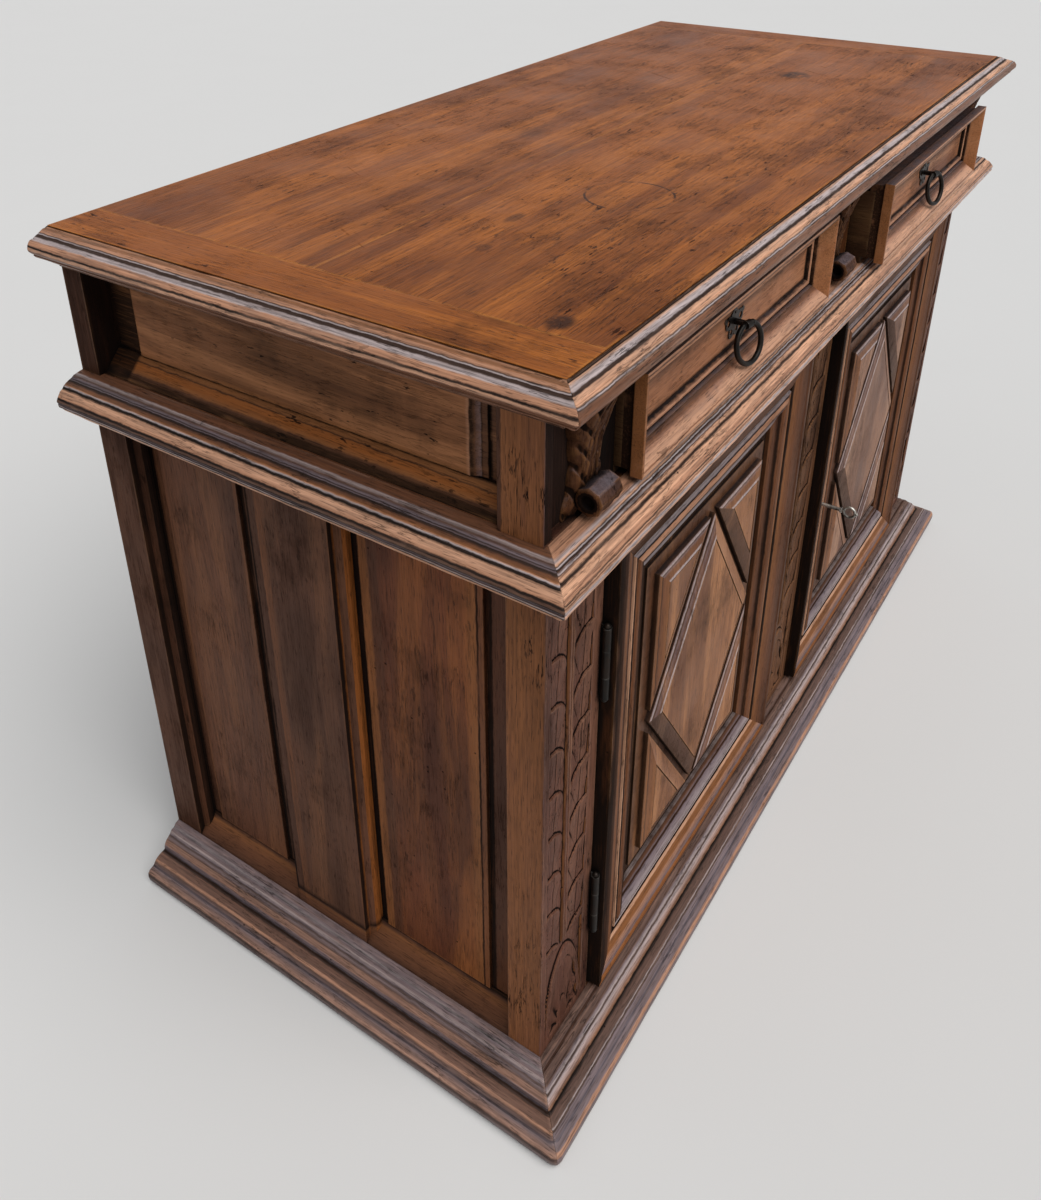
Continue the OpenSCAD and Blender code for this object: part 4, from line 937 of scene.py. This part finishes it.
def bracket(name, node, middle, seed):
    """A leaf bracket under the cornice: flared foot, slim neck, spread head, and a scroll across its foot."""
    columns, rows = 73, 97
    u, v = np.meshgrid(np.linspace(-1, 1, columns), np.linspace(0, 1, rows))
    z = WAIST + v * 129.0
    half_width = np.interp(v, (0, 0.10, 0.28, 0.45, 0.62, 0.80, 1.0), (35.5, 33, 25, 22.5, 25, 28.5, 30))
    lobes = np.abs(np.sin(v * math.pi * 4.5 + 0.3)) ** 0.7
    half_width = half_width * (0.90 + 0.10 * lobes)
    face = np.interp(v, (0, 0.12, 0.28, 0.45, 0.62, 0.80, 0.94, 1.0),
        (4.0, -2.0, -5.5, -7.0, -10.5, -17.0, -25.0, -25.5))
    round_off = np.clip(1 - np.abs(u) ** 3.2, 0, 1) ** 0.55
    y = 9.0 + (face - 9.0) * (0.22 + 0.78 * round_off)
    y = np.where(np.abs(u) > 0.999, 9.0, y)
    au = np.abs(u)
    vein = ease(0.20, 0.10, np.abs(au - 0.20)) * 2.0
    centre = ease(0.05, 0.0, au) * 1.2
    leaves = 0.5 + 0.5 * np.cos((v * 5.2 - au * 1.35) * 2 * math.pi)
    ribs = ease(0.55, 0.95, leaves) * ease(0.22, 0.42, au) * 2.6
    flute = (0.5 + 0.5 * np.cos(au * 21 + v * 3)) * ease(0.25, 0.45, au) * 1.0
    fringe = np.where(v > 0.80, 3.2 * (0.5 + 0.5 * np.cos(u * 15.0)) ** 2 * ease(0.80, 0.92, v), 0.0)
    hand = field(rows, columns, 16, 12, seed)
    nick = field(rows, columns, 34, 26, seed + 1)
    cut = vein + centre + ribs + flute + fringe + 1.4 * hand + 7 * np.maximum(nick - 0.84, 0)
    inward = np.minimum(cut, np.maximum(9.0 - y - 1.0, 0))
    y = y + inward * (au < 0.999)
    # Raised places are rubbed pale and deep cuts darkened: grime with painted shade.
    lip = np.clip(1.1 - cut / 2.2, -1, 1) * 0.8
    x = middle + u * half_width
    points = np.stack([x, y, z], 2).reshape(-1, 3)
    index = np.arange(rows * columns).reshape(rows, columns).tolist()
    left, right = [row[0] for row in index], [row[-1] for row in index]
    faces = grid_faces(rows, columns)
    faces += [[left[r], left[r + 1], right[r + 1], right[r]] for r in range(rows - 1)]
    faces += [index[0][::-1], index[-1]]

    worn = np.random.default_rng(seed + 5).uniform(-0.5, 0.0, (len(SCROLL), 8))
    turned, convex, tube = scroll(middle, worn)
    faces += [[len(points) + i for i in face] for face in tube]
    mesh = shaped(name, metres(np.vstack([points, turned])), faces, edge=list(lip.reshape(-1)) + convex)
    bm = bmesh.new()
    bm.from_mesh(mesh)
    bmesh.ops.recalc_face_normals(bm, faces=bm.faces[:])
    bm.to_mesh(mesh)
    bm.free()
    settle(name, mesh, node, carved_wood, 48.0)


for place, middle, seed in (("left", -650.0, 81), ("centre", 10.0, 83), ("right", 660.0, 85)):
    bracket(f"{place}_bracket", f"{place}_corbel", middle, seed)


# Floor, light and camera

FLOOR_GREYS = (0.715, 0.715, 0.715, 1.0), (0.725, 0.725, 0.725, 1.0)
FLOOR_REACH = 40.0
SKY = (0.95, 0.97, 1.0, 1.0)
SKY_LIGHT, SKY_SEEN = 0.30, 0.68  # the sky's strength as light, and as the camera and mirrors see it
SUN_STRENGTH, SUN_ANGLE, SUN_COLOUR, SUN_FROM = 2.45, 52.0, (1.0, 0.985, 0.96), (-0.18, -0.58, 1.0)
# The camera of the photo: its axes, its place in the part's own frame in metres, and its lens in pixels.
RIGHT = Vector((0.5580376, -0.8297951, -0.0058314))
DOWN = Vector((-0.3895686, -0.2557673, -0.8847708))
AHEAD = Vector((0.7326870, 0.4960072, -0.4659899))
EYE = (-1.4018238, -0.4176203, 1.4069913)
FOCAL, CENTRE_X, CENTRE_Y, WIDE, TALL = 1110.063, 504.291, 381.913, 1041.0, 1200.0
SENSOR = 36.0

scene = bpy.context.scene

t = Tree(bpy.data.materials.new("floor_paint"))
mottle = t.noise(t.place, 3.0, 2.0)
floor_colour = t.mix(mottle, *FLOOR_GREYS)
floor_paint = t.surface({"Base Color": floor_colour, "Roughness": 0.9, "Specular IOR Level": 0.1})
floor_mesh = bpy.data.meshes.new("floor")
floor_corners = ((-1, -1), (1, -1), (1, 1), (-1, 1))
floor_mesh.from_pydata([(x * FLOOR_REACH, y * FLOOR_REACH, 0) for x, y in floor_corners], [], [(0, 1, 2, 3)])
floor_mesh.materials.append(floor_paint)
floor = bpy.data.objects.new("floor", floor_mesh)
scene.collection.objects.link(floor)

scene.world = bpy.data.worlds.new("studio")
t = Tree(scene.world)
rays = t.add("LightPath").outputs
seen = t.math("MAXIMUM", rays["Is Camera Ray"], rays["Is Glossy Ray"])
seen = t.math("MAXIMUM", seen, rays["Is Transmission Ray"])
sky = t.add("Background", {"Color": SKY, "Strength": t.span(seen, 0.0, 1.0, SKY_LIGHT, SKY_SEEN, False)})
t.add("OutputWorld", {"Surface": sky.outputs[0]})

lamp = bpy.data.lights.new("softbox", "SUN")
lamp.energy = SUN_STRENGTH
lamp.angle = math.radians(SUN_ANGLE)
lamp.color = SUN_COLOUR
lamp_object = bpy.data.objects.new("softbox", lamp)
lamp_object.rotation_euler = Vector(SUN_FROM).to_track_quat("Z", "Y").to_euler()
scene.collection.objects.link(lamp_object)

camera = bpy.data.cameras.new("camera")
camera.sensor_fit = "AUTO"
camera.sensor_width = SENSOR
camera.lens = FOCAL / TALL * SENSOR
camera.shift_x = (WIDE / 2 - CENTRE_X) / TALL
camera.shift_y = (CENTRE_Y - TALL / 2) / TALL
camera.clip_end = 200.0
camera_object = bpy.data.objects.new("camera", camera)
turn = Matrix((RIGHT, -DOWN, -AHEAD)).transposed().to_4x4()
camera_object.matrix_world = Matrix.Translation((EYE[0], EYE[1] - MIDDLE / 1000, EYE[2])) @ turn
scene.collection.objects.link(camera_object)
scene.camera = camera_object

scene.view_settings.view_transform = "Standard"
